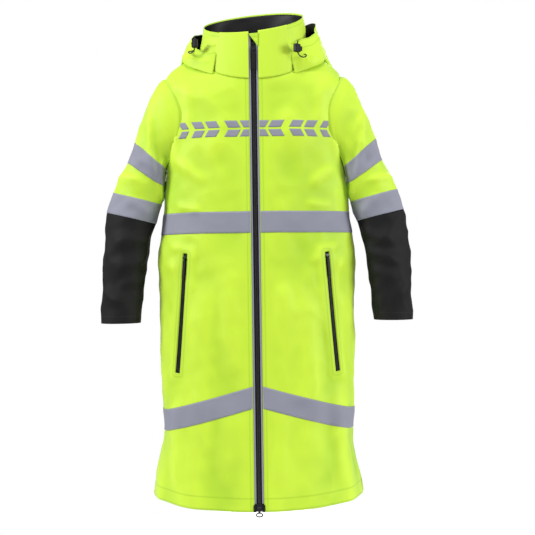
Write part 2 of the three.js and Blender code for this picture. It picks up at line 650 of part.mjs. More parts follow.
function addTab(parent, name, size) {
  const pin = pinDepth(size);
  const { at, half, reach } = size;
  const stem = EYE_RADIUS + 4;
  const shape = roundedShape(half, (reach - stem) / 2 + 1, 2);
  const tab = slab(shape, [pin - PULL_THICK / 2, pin + PULL_THICK / 2]).translate(0, 0, at - (reach + stem) / 2);
  add(name, join(eye(size, stem + 1), tab), blackPlastic(), parent);
}

/** The bottom slider's pull: a short neck and an open oval ring that hangs below the hem. */
function addRing(parent, name, size) {
  const pin = pinDepth(size);
  const centre = size.at - EYE_RADIUS - RING_NECK - RING_HALF_HEIGHT;
  const shape = new THREE.Shape();
  shape.absellipse(0, 0, RING_HALF_WIDTH, RING_HALF_HEIGHT, 0, 2 * Math.PI);
  const hole = new THREE.Path();
  hole.absellipse(0, 0, RING_HALF_WIDTH - 2 * RING_WIRE, RING_HALF_HEIGHT - 2 * RING_WIRE, 0, 2 * Math.PI);
  shape.holes.push(hole);
  const ring = slab(shape, [pin - RING_WIRE / 2, pin + RING_WIRE / 2], 14).translate(0, 0, centre);
  add(name, join(eye(size, EYE_RADIUS + RING_NECK + 1), ring), steel(), parent);
}

/** The frame of the left pocket zip, and its length. */
function pocketFrame() {
  const onShell = ([x, h]) => bodyAt(thetaAtX(x, h), h);
  const top = onShell(POCKET_TOP);
  const bottom = onShell(POCKET_BOTTOM);
  const along = top.clone().sub(bottom);
  const length = along.length();
  const middle = top.add(bottom).multiplyScalar(0.5);
  const theta = thetaAtX(middle.x, middle.z);
  const skin = (u, v) => bodyAt(u, 1000 * v);
  const inwards = skin(theta, middle.z / 1000).sub(offsetPoint(skin, theta, middle.z / 1000, 1));
  along.normalize();
  const across = inwards.cross(along).normalize();
  const matrix = new THREE.Matrix4().makeBasis(across, along.clone().cross(across), along);
  return { matrix: matrix.setPosition(middle), length };
}

const pocket = pocketFrame();

function pocketSlot() {
  const half = pocket.length / 2;
  return block([-POCKET_SLOT_HALF, POCKET_SLOT_HALF], [-12, 12], [-half, half]).applyMatrix4(pocket.matrix);
}

/** Both tapes and tooth rows of a pocket zip, joined past the ends of the slider's run. */
function pocketChain() {
  const half = pocket.length / 2 - SEAM_GAP;
  const thin = [POCKET_SLIDER.middle - 0.4, POCKET_SLIDER.middle + 0.4];
  const thick = [POCKET_SLIDER.middle - POCKET_CHAIN_THICK / 2, POCKET_SLIDER.middle + POCKET_CHAIN_THICK / 2];
  const rows = SIDES.map(([, side]) => mirrored(join(
    block([CHAIN_SLOT, POCKET_TAPE_HALF], thin, [-half, half]),
    block([CHAIN_SLOT, POCKET_CHAIN_HALF], thick, [-half, half])), side));
  const ends = [-1, 1].map((end) => block([-POCKET_TAPE_HALF, POCKET_TAPE_HALF], thick,
    end > 0 ? [half - 3, half] : [-half, 3 - half]));
  return join(...rows, ...ends);
}

/** A pocket bag between the shell and the lining. */
function pocketBag() {
  const surface = (u, v) => {
    const h = lerp(...BAG_H, v);
    return bodyAt(lerp(thetaAtX(BAG_X[0], h), thetaAtX(BAG_X[1], h), u), h);
  };
  const lining = liningLayer(-3 * TRIM_DEPTH, liningOffset(LINING_DEPTH, GAP));
  return cut(panel(surface, 5, 6, -LINING_BACK[1], -BAG_DEPTH), lining);
}

function addPockets() {
  const bag = pocketBag();
  const chain = pocketChain();
  const at = pocket.length / 2 - 4 - POCKET_SLIDER_LENGTH / 2;
  for (const [name, side] of SIDES) {
    const frame = new THREE.Group();
    const [position, turn, scale] = [new THREE.Vector3(), new THREE.Quaternion(), new THREE.Vector3()];
    pocket.matrix.decompose(position, turn, scale);
    frame.position.set(side * position.x, position.y, position.z);
    frame.quaternion.set(turn.x, side * turn.y, side * turn.z, turn.w);
    whole.add(frame);
    add(`pocket_zip_${name}`, chain.clone(), blackCloth(), frame);
    const size = { at, up: 1, ...POCKET_SLIDER };
    addSlider(frame, `pocket_slider_${name}`, size);
    addTab(frame, `pocket_pull_${name}`, { ...size, half: POCKET_PULL_HALF, reach: POCKET_PULL_LENGTH });
    add(`pocket_bag_${name}`, mirrored(bag, side), liningCloth());
  }
}

// ---- Hood cords and their locks -----------------------------------------------------------------
/** Where each lock sits: theta and height, then the cord's route in the lock's frame. */
const LOCKS = {
  left: { theta: 0.7, h: 1068, out: 22 },
  right: { theta: 1.0, h: 1086, out: 29 },
};
/** x is round the neck away from the zip, -y out, z up; the cord runs up through the lock. */
const CORD_ROUTE = [[25, -7, -13], [17, -6, -20], [7, -4, -19], [1.5, 0, -12], [0, 0, 0], [0, 0, 12], [0, -1, 17]];
const HOLE_X = 2.5; // the cord's hole from the lock's middle towards its button

function lockBody() {
  const half = [LOCK_LENGTH / 2, LOCK_THICK / 2, LOCK_HEIGHT / 2];
  const shape = roundedShape(half[0] - LOCK_BEVEL, half[1] - LOCK_BEVEL, 2);
  const solid = new THREE.ExtrudeGeometry(shape, {
    depth: LOCK_HEIGHT - 2 * LOCK_BEVEL, bevelSize: LOCK_BEVEL, bevelThickness: LOCK_BEVEL, bevelSegments: 2,
    curveSegments: 3,
  }).translate(0, 0, -half[2] + LOCK_BEVEL);
  const cavity = block([-half[0] + LOCK_WALL, half[0] + 1], [-half[1] + LOCK_WALL, half[1] - LOCK_WALL],
    [-half[2] + 2 * LOCK_WALL, half[2] - 2 * LOCK_WALL]);
  const hole = new THREE.CylinderGeometry(CORD_HOLE, CORD_HOLE, LOCK_HEIGHT + 4, 16).rotateX(Math.PI / 2);
  return cut(solid, cavity, hole.translate(HOLE_X, 0, 0));
}

function lockPlunger() {
  const half = [LOCK_LENGTH / 2, LOCK_THICK / 2 - LOCK_WALL - GAP, LOCK_HEIGHT / 2 - 2 * LOCK_WALL - GAP];
  const inside = -half[0] + LOCK_WALL + GAP + PLUNGER_TRAVEL;
  const solid = block([inside, half[0] + PLUNGER_REST], [-half[1], half[1]], [-half[2], half[2]]);
  const slot = roundedShape(CORD_HOLE + PLUNGER_TRAVEL / 2, CORD_HOLE, CORD_HOLE - 0.01);
  const hole = new THREE.ExtrudeGeometry(slot, { depth: LOCK_HEIGHT, bevelEnabled: false, curveSegments: 4 });
  return cut(solid, hole.translate(HOLE_X + PLUNGER_TRAVEL / 2, 0, -LOCK_HEIGHT / 2));
}

function cordGeometry() {
  const path = new THREE.CatmullRomCurve3(CORD_ROUTE.map(([x, y, z]) =>
    new THREE.Vector3(x + HOLE_X, y, z)));
  const section = new THREE.Shape();
  section.absarc(0, 0, CORD_RADIUS, 0, 2 * Math.PI);
  return welded(new THREE.ExtrudeGeometry(section, {
    steps: 28, curveSegments: 4, bevelEnabled: false, extrudePath: path,
  }));
}

function addLocks() {
  for (const [name, side] of SIDES) {
    const { theta, h, out } = LOCKS[name];
    const neck = neckPoint(theta);
    const frame = new THREE.Group();
    const facing = Math.atan2(neck.x, -neck.y);
    frame.position.set(side * (neck.x + out * Math.sin(facing)), neck.y - out * Math.cos(facing), h);
    frame.rotation.z = side * facing;
    whole.add(frame);
    add(`cord_lock_${name}`, mirrored(lockBody(), side), blackPlastic(), frame);
    add(`cord_lock_button_${name}`, mirrored(lockPlunger(), side), blackPlastic(), frame);
    add(`hood_cord_${name}`, mirrored(cordGeometry(), side), blackCloth(), frame);
  }
}

// ---- Assembly -----------------------------------------------------------------------------------
function addBody() {
  const front = cut(frontPanel(), ...armholeTools, pocketSlot());
  const bands = { waist: waistBandHeight, lower: lowerBandHeight };
  for (const [name, side] of SIDES) {
    add(`front_panel_${name}`, mirrored(front, side), yellowCloth());
    for (const [band, middle] of Object.entries(bands)) {
      add(`${band}_tape_${name}`, mirrored(frontBand(middle), side), reflective());
    }
  }
  add('back_panel', backPanel(), yellowCloth());
  for (const [band, middle] of Object.entries(bands)) {
    add(`${band}_tape_back`, backBand(middle), reflective());
  }
  add('body_lining', bodyLining(), liningCloth());
}

addBody();
addSleeves(bodyCore(3 * SEAM_GAP));
addCollar();
addHood();
addFrontZip();
addPockets();
addLocks();
addHangLoop();
whole.position.set(0, -HANG_Y, -HANG_H);

const part = new THREE.Group();
part.name = 'foul_weather_coat';
part.add(whole);
export default part;
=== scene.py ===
import math

import bpy
import numpy as np
from bpy.props import FloatProperty, FloatVectorProperty, PointerProperty
from bpy.types import Operator, Panel, PropertyGroup
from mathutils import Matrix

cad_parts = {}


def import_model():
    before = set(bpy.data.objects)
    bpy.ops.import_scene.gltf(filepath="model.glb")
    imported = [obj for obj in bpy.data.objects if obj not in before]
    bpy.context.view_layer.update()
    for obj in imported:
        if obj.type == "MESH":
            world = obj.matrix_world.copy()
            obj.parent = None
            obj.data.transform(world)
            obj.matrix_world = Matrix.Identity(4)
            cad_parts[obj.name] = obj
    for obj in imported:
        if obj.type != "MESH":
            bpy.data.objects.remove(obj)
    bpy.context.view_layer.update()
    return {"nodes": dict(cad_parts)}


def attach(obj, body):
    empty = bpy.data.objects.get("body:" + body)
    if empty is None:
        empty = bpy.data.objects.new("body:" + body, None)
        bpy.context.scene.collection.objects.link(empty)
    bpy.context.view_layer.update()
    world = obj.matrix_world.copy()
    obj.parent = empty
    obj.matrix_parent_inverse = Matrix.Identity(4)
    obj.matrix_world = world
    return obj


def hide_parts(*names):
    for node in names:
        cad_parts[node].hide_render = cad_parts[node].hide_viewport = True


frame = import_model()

bl_info = {
    "name": "Foul weather coat",
    "version": (1, 0, 0),
    "blender": (4, 5, 0),
    "location": "3D View > Sidebar > Coat",
    "description": "Sews the cloth, tapes, zips and trims of a long hooded foul weather coat over its frame",
    "category": "Add Mesh",
}

SIDES = ((1, "left"), (-1, "right"))  # the wearer's

# ---- Sizes, in millimetres above the front hem, as the frame was built ----------------------------
LOOP_FOOT_Y, LOOP_FOOT_H, LOOP_RISE, LOOP_LEAN = 77.2, 1098, 26, math.radians(20)
HANG = (0, LOOP_FOOT_Y - LOOP_RISE * math.sin(LOOP_LEAN), LOOP_FOOT_H + LOOP_RISE * math.cos(LOOP_LEAN))
NECK_FRONT, NECK_SIDE, NECK_BACK = 998, 1072, 1085
NECK_WIDE, NECK_DEEP = 132, 82
SHOULDER_FRONT, SHOULDER_SIDE, SHOULDER_BACK = 930, 1000, 985
FRONT_DEPTH, FRONT_RAKE = 150, 0.06
SECTION = 2 / 2.3
HALF_WIDTHS = ((-40, 249), (0, 247), (70, 242), (150, 229), (250, 231), (400, 235), (520, 237), (590, 238),
               (640, 229), (690, 223), (747, 221), (860, 214), (1000, 215))
BACK_DEPTHS = ((-40, 151), (0, 150), (150, 140), (400, 132), (650, 122), (850, 122), (1000, 106))
COLLAR_FRONT, COLLAR_SIDE, COLLAR_BACK = 1108, 1150, 1186
COLLAR_WIDE, COLLAR_DEEP = 120, 92
COLLAR_LEAN = 0.1
PANEL_EDGE = 11
SIDE_SEAM = math.pi / 2
VENT, VENT_KICK, HEM_RISE = 150, 8, 14
# outer x, outer h, inner x, inner h, half depth, y of each sleeve section from the armhole to the cuff
SECTIONS = np.array((
    (140, 1000, 100, 800, 60, 0), (213, 1012, 150, 800, 64, 0), (249, 973, 174, 800, 64, 0),
    (270, 925, 192, 796, 63, 0), (291, 862, 205, 788, 61, -1), (309, 813, 216, 748, 60, -3),
    (326, 777, 220, 728, 59, -5), (341, 740, 226, 710, 58, -7), (357, 692, 241, 664, 57, -10),
    (365, 640, 252, 625, 56, -14), (369, 585, 258, 578, 54, -20), (371, 530, 266, 528, 52, -26),
    (372, 480, 272, 479, 50, -31), (372, 429, 277, 429, 48, -35)), float)
CUFF = len(SECTIONS) - 1
TAPE_WIDE = 50
WAIST_TAPE, LOWER_TAPE_FRONT, LOWER_TAPE_SIDE = 662, 262, 196
SHELL_THICK, LINING_THICK, TAPE_THICK, FACING_THICK = 0.8, 0.4, 0.5, 1.2
NECK_SEAM = 0.5  # the panels stop this far below the collar's seam


# ---- Cloth surfaces -------------------------------------------------------------------------------
def smooth(t):
    t = np.clip(t, 0, 1)
    return t * t * (3 - 2 * t)


def mix(a, b, t):
    return a + (b - a) * t


def spline(table, x):
    """A smooth curve through (x, value) pairs."""
    xs, ys = np.array(table, float).T
    slopes = np.gradient(ys, xs)
    i = np.clip(np.searchsorted(xs, x, side="right") - 1, 0, len(xs) - 2)
    step = xs[i + 1] - xs[i]
    t = np.clip((x - xs[i]) / step, 0, 1)
    return ((2 * t**3 - 3 * t**2 + 1) * ys[i] + (t**3 - 2 * t**2 + t) * step * slopes[i]
            + (3 * t**2 - 2 * t**3) * ys[i + 1] + (t**3 - t**2) * step * slopes[i + 1])


def unit(v):
    return v / np.maximum(np.linalg.norm(v, axis=-1, keepdims=True), 1e-9)


def power(v, p):
    """A power that keeps its number's sign."""
    return np.sign(v) * np.abs(v) ** p


def front_depth(h):
    return FRONT_DEPTH - FRONT_RAKE * h


def around(theta, front, side, back, p=1):
    """A value that goes from the front by the side to the back of the coat."""
    c = np.cos(theta)
    return mix(side, np.where(c > 0, front, back), np.abs(c) ** p)


def neck_height(theta):
    return around(theta, NECK_FRONT, NECK_SIDE, NECK_BACK)


def shoulder_height(theta):
    return around(theta, SHOULDER_FRONT, SHOULDER_SIDE, SHOULDER_BACK, 2)


def body(theta, h):
    """The coat's plain outer surface. Theta goes from the centre front by the wearer's left side to the back."""
    s, c = np.sin(theta), np.cos(theta)
    level = np.minimum(h, shoulder_height(theta))
    depth = np.where(c > 0, front_depth(level), spline(BACK_DEPTHS, level))
    x = spline(HALF_WIDTHS, level) * power(s, SECTION)
    y = -depth * power(c, SECTION)
    q = (h - level) / (neck_height(theta) - shoulder_height(theta))
    q = mix(q, q * q, s * s)
    neck_x, neck_y = neckline(theta)
    return np.stack([mix(x, neck_x, q), mix(y, neck_y, q), h + 0 * x], -1)


def halved(low, high, below, steps=24):
    """The place between low and high where below stops being true."""
    for _ in range(steps):
        middle = (low + high) / 2
        less = below(middle)
        low, high = np.where(less, middle, low), np.where(less, high, middle)
    return low


def theta_at(x, h):
    """The theta at which the front is x from the middle."""
    return halved(np.zeros_like(h), np.full_like(h, SIDE_SEAM), lambda theta: body(theta, h)[..., 0] < x, 26)


def neckline(theta):
    """The x and y of the collar's seam."""
    c = np.cos(theta)
    return NECK_WIDE * np.sin(theta), -np.where(c > 0, front_depth(NECK_FRONT), NECK_DEEP) * c


def crumple(p, wavelength, seed, count=10):
    """A smooth random field over points in millimetres, about -1 to 1."""
    draw = np.random.default_rng(seed)
    waves = draw.normal(size=(count, 3))
    waves *= (2 * math.pi / wavelength / np.linalg.norm(waves, axis=1) * draw.uniform(0.6, 1.5, count))[:, None]
    phases = draw.uniform(0, 2 * math.pi, count)
    return sum(np.sin(p @ w + f) for w, f in zip(waves, phases)) / math.sqrt(count)


def pleats(p, wavelength, seed, ridge=0.45):
    """Round folds with narrow valleys between them, in the same field."""
    return ridge - np.abs(crumple(p, wavelength, seed))


def crease(a, b, ridge, taller):
    """A soft ridge from one point of a flat chart to another, that fades out at its ends."""
    a0, b0, a1, b1, width, height = ridge
    run_a, run_b = a1 - a0, b1 - b0
    along = ((a - a0) * run_a + (b - b0) * run_b) / (run_a ** 2 + run_b ** 2)
    off = np.hypot(a - a0 - along * run_a, b - b0 - along * run_b)
    fade = smooth(along * 3) * smooth((1 - along) * 3)
    return taller * height * fade * np.exp(-(off / (CREASE_WIDTH * width)) ** 2)


# Ridges on each front: x and height of both ends, width, height. Side -1 is the wearer's right.
FRONT_CREASES = {
    1: ((60, 560, 75, 330, 26, 4), (120, 540, 140, 60, 34, 5), (206, 620, 120, 560, 13, 4),
        (210, 590, 150, 480, 15, 4), (196, 800, 120, 740, 17, 4), (190, 960, 196, 790, 14, 5),
        (190, 700, 110, 705, 12, 2.5), (55, 300, 48, 20, 26, 4), (185, 300, 200, 20, 22, 5),
        (205, 235, 165, 150, 12, 3), (160, 1010, 150, 880, 18, 3), (60, 940, 120, 820, 30, 2.5)),
    -1: ((66, 580, 60, 300, 26, 4), (130, 560, 120, 40, 34, 5), (208, 615, 130, 575, 13, 4),
         (212, 580, 140, 500, 15, 4.5), (198, 820, 110, 750, 17, 4), (186, 950, 192, 780, 14, 5),
         (195, 704, 120, 690, 12, 3), (70, 280, 85, 20, 26, 4), (190, 290, 192, 20, 22, 5),
         (207, 240, 160, 165, 12, 3), (158, 1005, 156, 870, 18, 3), (70, 930, 110, 800, 30, 2.5)),
}
BACK_CREASES = ((-150, 940, -90, 700, 26, 5), (150, 940, 95, 690, 26, 5), (-60, 600, -80, 60, 38, 7),
                (20, 560, 10, 60, 34, 6), (110, 600, 130, 40, 38, 7), (-180, 640, -80, 600, 16, 4),
                (190, 640, 90, 590, 16, 4), (-200, 560, -130, 420, 20, 4), (200, 300, 190, 30, 24, 5))


# The creases are drawn this much narrower and taller than the tables say.
CREASE_WIDTH, FRONT_CREASE, BACK_CREASE = 0.8, 1.5, 1.4  # sleeves take the front's

# Both ends of the pocket's slot, as x and height, and half its width.
POCKET_TOP, POCKET_BOTTOM, POCKET_HALF = (165, 590), (187, 312), 5.4


def outward(theta, h):
    """Unit normals of the plain surface."""
    e = 2e-3
    top = np.minimum(h + 1, neck_height(theta))
    return unit(np.cross(body(theta + e, h) - body(theta - e, h), body(theta, top) - body(theta, top - 2)))


def pocket_frame():
    """The middle, across, inward and along directions and the length of the wearer's left pocket zip."""
    ends = [body(theta_at(x, np.array(float(h))), np.array(float(h))) for x, h in (POCKET_TOP, POCKET_BOTTOM)]
    middle = sum(ends) / 2
    run = ends[0] - ends[1]
    length = np.linalg.norm(run)
    along = run / length
    h = np.array(middle[2])
    across = np.cross(-outward(theta_at(middle[0], h), h), along)
    across /= np.linalg.norm(across)
    return middle, across, np.cross(along, across), along, length


POCKET = pocket_frame()


def at_pocket(p):
    """Points across, inward and along from the middle of the nearer pocket zip."""
    q = p - POCKET[0]
    q[..., 0] = np.abs(p[..., 0]) - POCKET[0][0]
    return q @ POCKET[1], q @ POCKET[2], q @ POCKET[3]


SKIRT_TOP = 620  # below this height the cloth hangs in long flutes
SEAM_FADE = 40  # folds die out this far from the zip and the collar's seam
BODY_EASE, SLEEVE_EASE = 1.6, 2.0  # the folds' middle lies this far inside the plain surface


def folds(theta, h):
    """How far the worn cloth stands off the plain surface."""
    p = body(theta, h)
    x = p[..., 0]
    out = 0.9 * crumple(p, 120, 5) + 0.5 * crumple(p, 48, 6) + 4.2 * pleats(p * (1, 1, 0.55), 210, 7)
    out = out + 1.5 * pleats(p * (1, 1, 0.8), 85, 8)
    skirt = smooth((SKIRT_TOP - h) / SKIRT_TOP)
    out = out + skirt * (3.2 * np.sin(7 * theta + 0.6) + 2.4 * np.sin(11 * theta + 2.1 + h / 300))
    front = smooth(np.cos(theta) * 6 + 0.5)
    for side, ridges in FRONT_CREASES.items():
        for ridge in ridges:
            out = out + front * crease(x * side, h, ridge, FRONT_CREASE)
    for ridge in BACK_CREASES:
        out = out + (1 - front) * crease(x, h, ridge, BACK_CREASE)
    at_zip = smooth((np.abs(x) - 12) / SEAM_FADE) * front + (1 - front)
    at_neck = smooth((neck_height(theta) - h) / SEAM_FADE)
    out = (out - BODY_EASE) * at_zip * at_neck
    out = out + VENT_KICK * smooth(1.05 - h / VENT) * smooth((np.abs(np.sin(theta)) - 0.88) / 0.12)
    across, inward, along = at_pocket(p)
    flat = front * smooth((34 - np.abs(across)) / 24) * smooth((POCKET[4] / 2 + 30 - np.abs(along)) / 30)
    return mix(out, inward, flat)


def normals(points):
    """Unit normals of a grid of points; the first index runs up the piece and the second along it."""
    return unit(np.cross(np.gradient(points, axis=1), np.gradient(points, axis=0)))


def lifted(points, distance):
    """A grid of points moved along its normals."""
    distance = np.asarray(distance, float)
    return points + normals(points) * (distance[..., None] if distance.ndim else distance)


def worn(theta, h, off=0.0):
    """The coat's surface with its folds, moved out by off."""
    return body(theta, h) + outward(theta, h) * (folds(theta, h) + off)[..., None]


def sections(values):
    """Sleeve section values at fractional section numbers."""
    return [spline(np.stack([np.arange(len(SECTIONS)), column], 1), values) for column in SECTIONS.T]


def sleeve_plain(turn, s):
    """The wearer's left sleeve without folds, at a turn round it and a section number."""
    ox, oh, ix, ih, deep, y = sections(s)
    c, w = np.cos(turn), -np.sin(turn)
    return np.stack([(ox + ix) / 2 + (ox - ix) / 2 * c, y + deep * w, (oh + ih) / 2 + (oh - ih) / 2 * c], -1)


# Ridges round a sleeve: both ends in turn (radians, 0 outside, -pi/2 back, pi/2 front, pi inside) and section
# number, width, height.
SLEEVE_CREASES = {
    1: ((0.4, 2.2, 2.4, 5.4, 0.22, 5), (0.1, 6.4, 1.9, 5.6, 0.2, 3.5), (2.9, 8.6, 0.9, 9.6, 0.24, 5.5),
        (3.1, 9.6, 1.0, 10.2, 0.2, 5), (2.8, 10.6, 1.2, 10.9, 0.2, 3.5), (2.2, 3.4, 2.7, 7.4, 0.22, 5),
        (-2.6, 8.8, -0.7, 9.8, 0.24, 6), (-2.8, 10.1, -1.0, 10.4, 0.2, 4), (1.2, 7.0, 2.8, 7.9, 0.18, 3.5),
        (-0.5, 2.4, -2.2, 5.2, 0.25, 5), (0.3, 11.2, 2.0, 12.2, 0.25, 3)),
    -1: ((0.5, 2.0, 2.3, 5.2, 0.22, 5), (0.0, 6.2, 1.8, 5.4, 0.2, 3.5), (3.0, 8.9, 0.8, 9.3, 0.24, 6),
         (3.0, 9.9, 1.1, 10.5, 0.2, 4.5), (2.9, 10.9, 1.3, 11.2, 0.2, 3.5), (2.1, 3.2, 2.8, 7.2, 0.22, 5.5),
         (-2.6, 9.0, -0.8, 9.6, 0.24, 6), (-2.9, 10.2, -1.1, 10.8, 0.2, 4), (1.0, 7.1, 2.7, 7.7, 0.18, 3.5),
         (-0.6, 2.6, -2.1, 5.4, 0.25, 5), (0.4, 11.4, 2.1, 12.0, 0.25, 3)),
}


SECTION_TURN = 0.55  # a section is about as long as this many radians round the sleeve


def sleeve(turn, s, side, off=0.0, folds_only=False):
    """A worn sleeve on the wearer's left (side 1) or right (-1), or how far its folds stand out."""
    base = sleeve_plain(turn, s)
    e = 1e-3
    further = np.minimum(s + e, CUFF)
    n = unit(np.cross(sleeve_plain(turn + e, s) - sleeve_plain(turn - e, s),
                      sleeve_plain(turn, further) - sleeve_plain(turn, further - 2 * e)))
    wrapped = (turn + math.pi) % (2 * math.pi) - math.pi
    out = 1.2 * crumple(base * (1, 1, 0.8), 85, 11 + side) + 0.6 * crumple(base, 38, 21 + side)
    for turn0, s0, turn1, s1, *form in SLEEVE_CREASES[side]:
        ridge = turn0, s0 * SECTION_TURN, turn1, s1 * SECTION_TURN, *form
        out = out + crease(wrapped, s * SECTION_TURN, ridge, FRONT_CREASE)
    out = out + 3.4 * pleats(base, 105, 25 + side)
    out = (out - SLEEVE_EASE) * smooth((s - 1.2) / 1.5) * mix(0.35, 1, smooth((CUFF - s) / 1.2))
    if folds_only:
        return out
    return (base + n * (out + off)[..., None]) * (side, 1, 1)


def body_reach(p):
    """How far inside the plain body surface points beside the wearer are (positive is inside), and their theta."""
    h = p[..., 2]
    angle = np.arctan2(p[..., 0], -p[..., 1])

    def level(theta):
        return body(theta, np.minimum(h, neck_height(theta)))

    def before(theta):
        b = level(theta)
        return np.arctan2(b[..., 0], -b[..., 1]) < angle

    theta = halved(np.zeros_like(angle), np.full_like(angle, math.pi), before)
    b = level(theta)
    over = np.maximum(h - neck_height(theta), 0)
    return np.hypot(b[..., 0], b[..., 1]) - np.hypot(p[..., 0], p[..., 1]) - 3 * over, theta


def armhole(turn):
    """The section number at which the sleeve comes out of the body, and its theta and height there."""
    s = halved(np.full_like(turn, 0.3), np.full_like(turn, 6.6), lambda s: body_reach(sleeve_plain(turn, s))[0] > 0)
    p = sleeve_plain(turn, s)
    return s, body_reach(p)[1], p[..., 2]


def collar(theta, v):
    """The stand collar, from its seam at v = 0 to its rim at v = 1."""
    c = np.cos(theta)
    neck = np.stack(neckline(theta), -1)
    rim = np.stack([COLLAR_WIDE * np.sin(theta), -np.where(c > 0, front_depth(COLLAR_FRONT), COLLAR_DEEP) * c], -1)
    top = around(theta, COLLAR_FRONT, COLLAR_SIDE, COLLAR_BACK) + COLLAR_LEAN * rim[..., 0]
    h = mix(neck_height(theta) - 1.5, top, v)
    return np.concatenate([mix(neck, rim, v[..., None]), h[..., None]], -1)


def placed(points):
    """Points in millimetres above the hem as points in metres below the hang loop."""
    return (np.asarray(points, float) - HANG) / 1000


def grid(columns, rows):
    """u and v over a grid, v up the first index."""
    return np.meshgrid(np.linspace(0, 1, columns + 1), np.linspace(0, 1, rows + 1))


def flat_run(points):
    """Distances in millimetres along and up a grid of points, as on the flat cloth."""
    along = np.linalg.norm(np.diff(points, axis=1), axis=-1)
    up = np.linalg.norm(np.diff(points, axis=0), axis=-1)
    u = np.concatenate([np.zeros((len(points), 1)), np.cumsum(along, 1)], 1)
    v = np.concatenate([np.zeros((1, points.shape[1])), np.cumsum(up, 0)], 0)
    return u, v


def object_of(name, vertices, faces, material):
    """A smooth mesh object from its points and faces."""
    mesh = bpy.data.meshes.new(name)
    mesh.from_pydata([tuple(v) for v in vertices], [], faces)
    mesh.update()
    o = bpy.data.objects.new(name, mesh)
    bpy.context.collection.objects.link(o)
    o.data.materials.append(material)
    mesh.shade_smooth()
    return o


def cloth(name, points, material, thick=SHELL_THICK, closed=False, keep=None, edges=(1, 1, 1, 1), relief=None,
          slot=None):
    """A sheet of cloth from a grid of points. edges marks the left, right, bottom and top edges that are stitched,
    keep the faces that stay, relief the height of the folds, which the cloth's material turns into painted shade in
    their valleys, and slot the distance from an opening's edge."""
    rows, columns = points.shape[0] - 1, points.shape[1] - 1
    u, v = flat_run(points)
    count = columns if closed else columns + 1
    index = lambda i, j: i * count + j % count
    faces, corners = [], []
    for i in range(rows):
        for j in range(columns):
            if keep is None or keep[i, j]:
                faces.append((index(i, j), index(i, j + 1), index(i + 1, j + 1), index(i + 1, j)))
                corners.append(((i, j), (i, j + 1), (i + 1, j + 1), (i + 1, j)))
    o = object_of(name, placed(points[:, :count].reshape(-1, 3)), faces, material)
    uv = o.data.uv_layers.new(name="cloth_mm")
    at = np.array(corners).reshape(-1, 2)
    uv.data.foreach_set("uv", np.stack([u[at[:, 0], at[:, 1]], v[at[:, 0], at[:, 1]]], -1).ravel())
    far = 1e3
    side = np.minimum(u if edges[0] else far, u[:, -1:] - u if edges[1] else far)
    end = np.minimum(v if edges[2] else far, v[-1:] - v if edges[3] else far)
    if slot is not None:
        side = np.minimum(side, slot)
    relief = 0 * u if relief is None else relief
    for label, values in (("from_side", side), ("from_end", end), ("relief", relief)):
        layer = o.data.attributes.new(label, "FLOAT", "POINT")
        layer.data.foreach_set("value", np.broadcast_to(values, u.shape)[:, :count].ravel())
    drop_loose(o)
    add_modifier(o, "SOLIDIFY", thickness=thick / 1000, offset=-1, use_rim=True)
    return o


def drop_loose(o):
    """Removes the points that no face uses."""
    used = np.zeros(len(o.data.vertices), bool)
    loops = np.zeros(len(o.data.loops), int)
    o.data.loops.foreach_get("vertex_index", loops)
    used[loops] = True
    if used.all():
        return
    select_only(o)
    bpy.ops.object.mode_set(mode="EDIT")
    bpy.ops.mesh.select_all(action="SELECT")
    bpy.ops.mesh.delete_loose(use_verts=True, use_edges=True, use_faces=False)
    bpy.ops.object.mode_set(mode="OBJECT")


def select_only(*objects):
    bpy.ops.object.select_all(action="DESELECT")
    for o in objects:
        o.select_set(True)
    bpy.context.view_layer.objects.active = objects[0]


def add_modifier(o, kind, **settings):
    m = o.modifiers.new(kind.lower(), kind)
    for key, value in settings.items():
        setattr(m, key, value)
    return m


def hung(o, *nodes, held="hung", slot="yellow_cloth"):
    """Attaches a sheet to the coat so that it hangs with it, and hides the CAD nodes that it stands for."""
    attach(o, "coat")
    if nodes:
        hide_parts(*nodes)


# ---- Materials ------------------------------------------------------------------------------------
def linear(hex_colour):
    """An sRGB hex colour as linear red, green, blue and alpha."""
    values = [int(hex_colour[i:i + 2], 16) / 255 for i in (1, 3, 5)]
    return (*[v / 12.92 if v <= 0.04045 else ((v + 0.055) / 1.055) ** 2.4 for v in values], 1.0)


def to_hex(colour):
    """Linear red, green and blue as an sRGB hex colour."""
    values = [12.92 * v if v <= 0.0031308 else 1.055 * v ** (1 / 2.4) - 0.055 for v in colour]
    return "#" + "".join(f"{round(255 * v):02x}" for v in values)


def node(tree, kind, links=(), **settings):
    """Adds a node, sets its settings and inputs, and links its inputs from (input, node, output)."""
    n = tree.nodes.new("ShaderNode" + kind)
    for key, value in settings.items():
        if key.startswith("in_"):
            n.inputs[int(key[3:])].default_value = value
        else:
            setattr(n, key, value)
    for to, source, output in links:
        tree.links.new(source.outputs[output], n.inputs[to])
    return n


def new_material(name, colour, roughness, **shader):
    """A material with one shader, whose constants are set on its own sockets, such as Specular_IOR_Level."""
    m = bpy.data.materials.new(name)
    m.use_nodes = True
    tree = m.node_tree
    tree.nodes.clear()
    out = node(tree, "OutputMaterial")
    bsdf = node(tree, "BsdfPrincipled")
    tree.links.new(bsdf.outputs[0], out.inputs[0])
    constants = {"Base_Color": linear(colour), "Roughness": roughness, "Metallic": 0.0, "IOR": 1.5, **shader}
    for key, value in constants.items():
        bsdf.inputs[key.replace("_", " ")].default_value = value
    return m, tree, bsdf


def greatest(tree, a, b):
    """The greater of two masks, or b where there is no a yet."""
    return b if a is None else node(tree, "Math", [(0, a, 0), (1, b, 0)], operation="MAXIMUM")


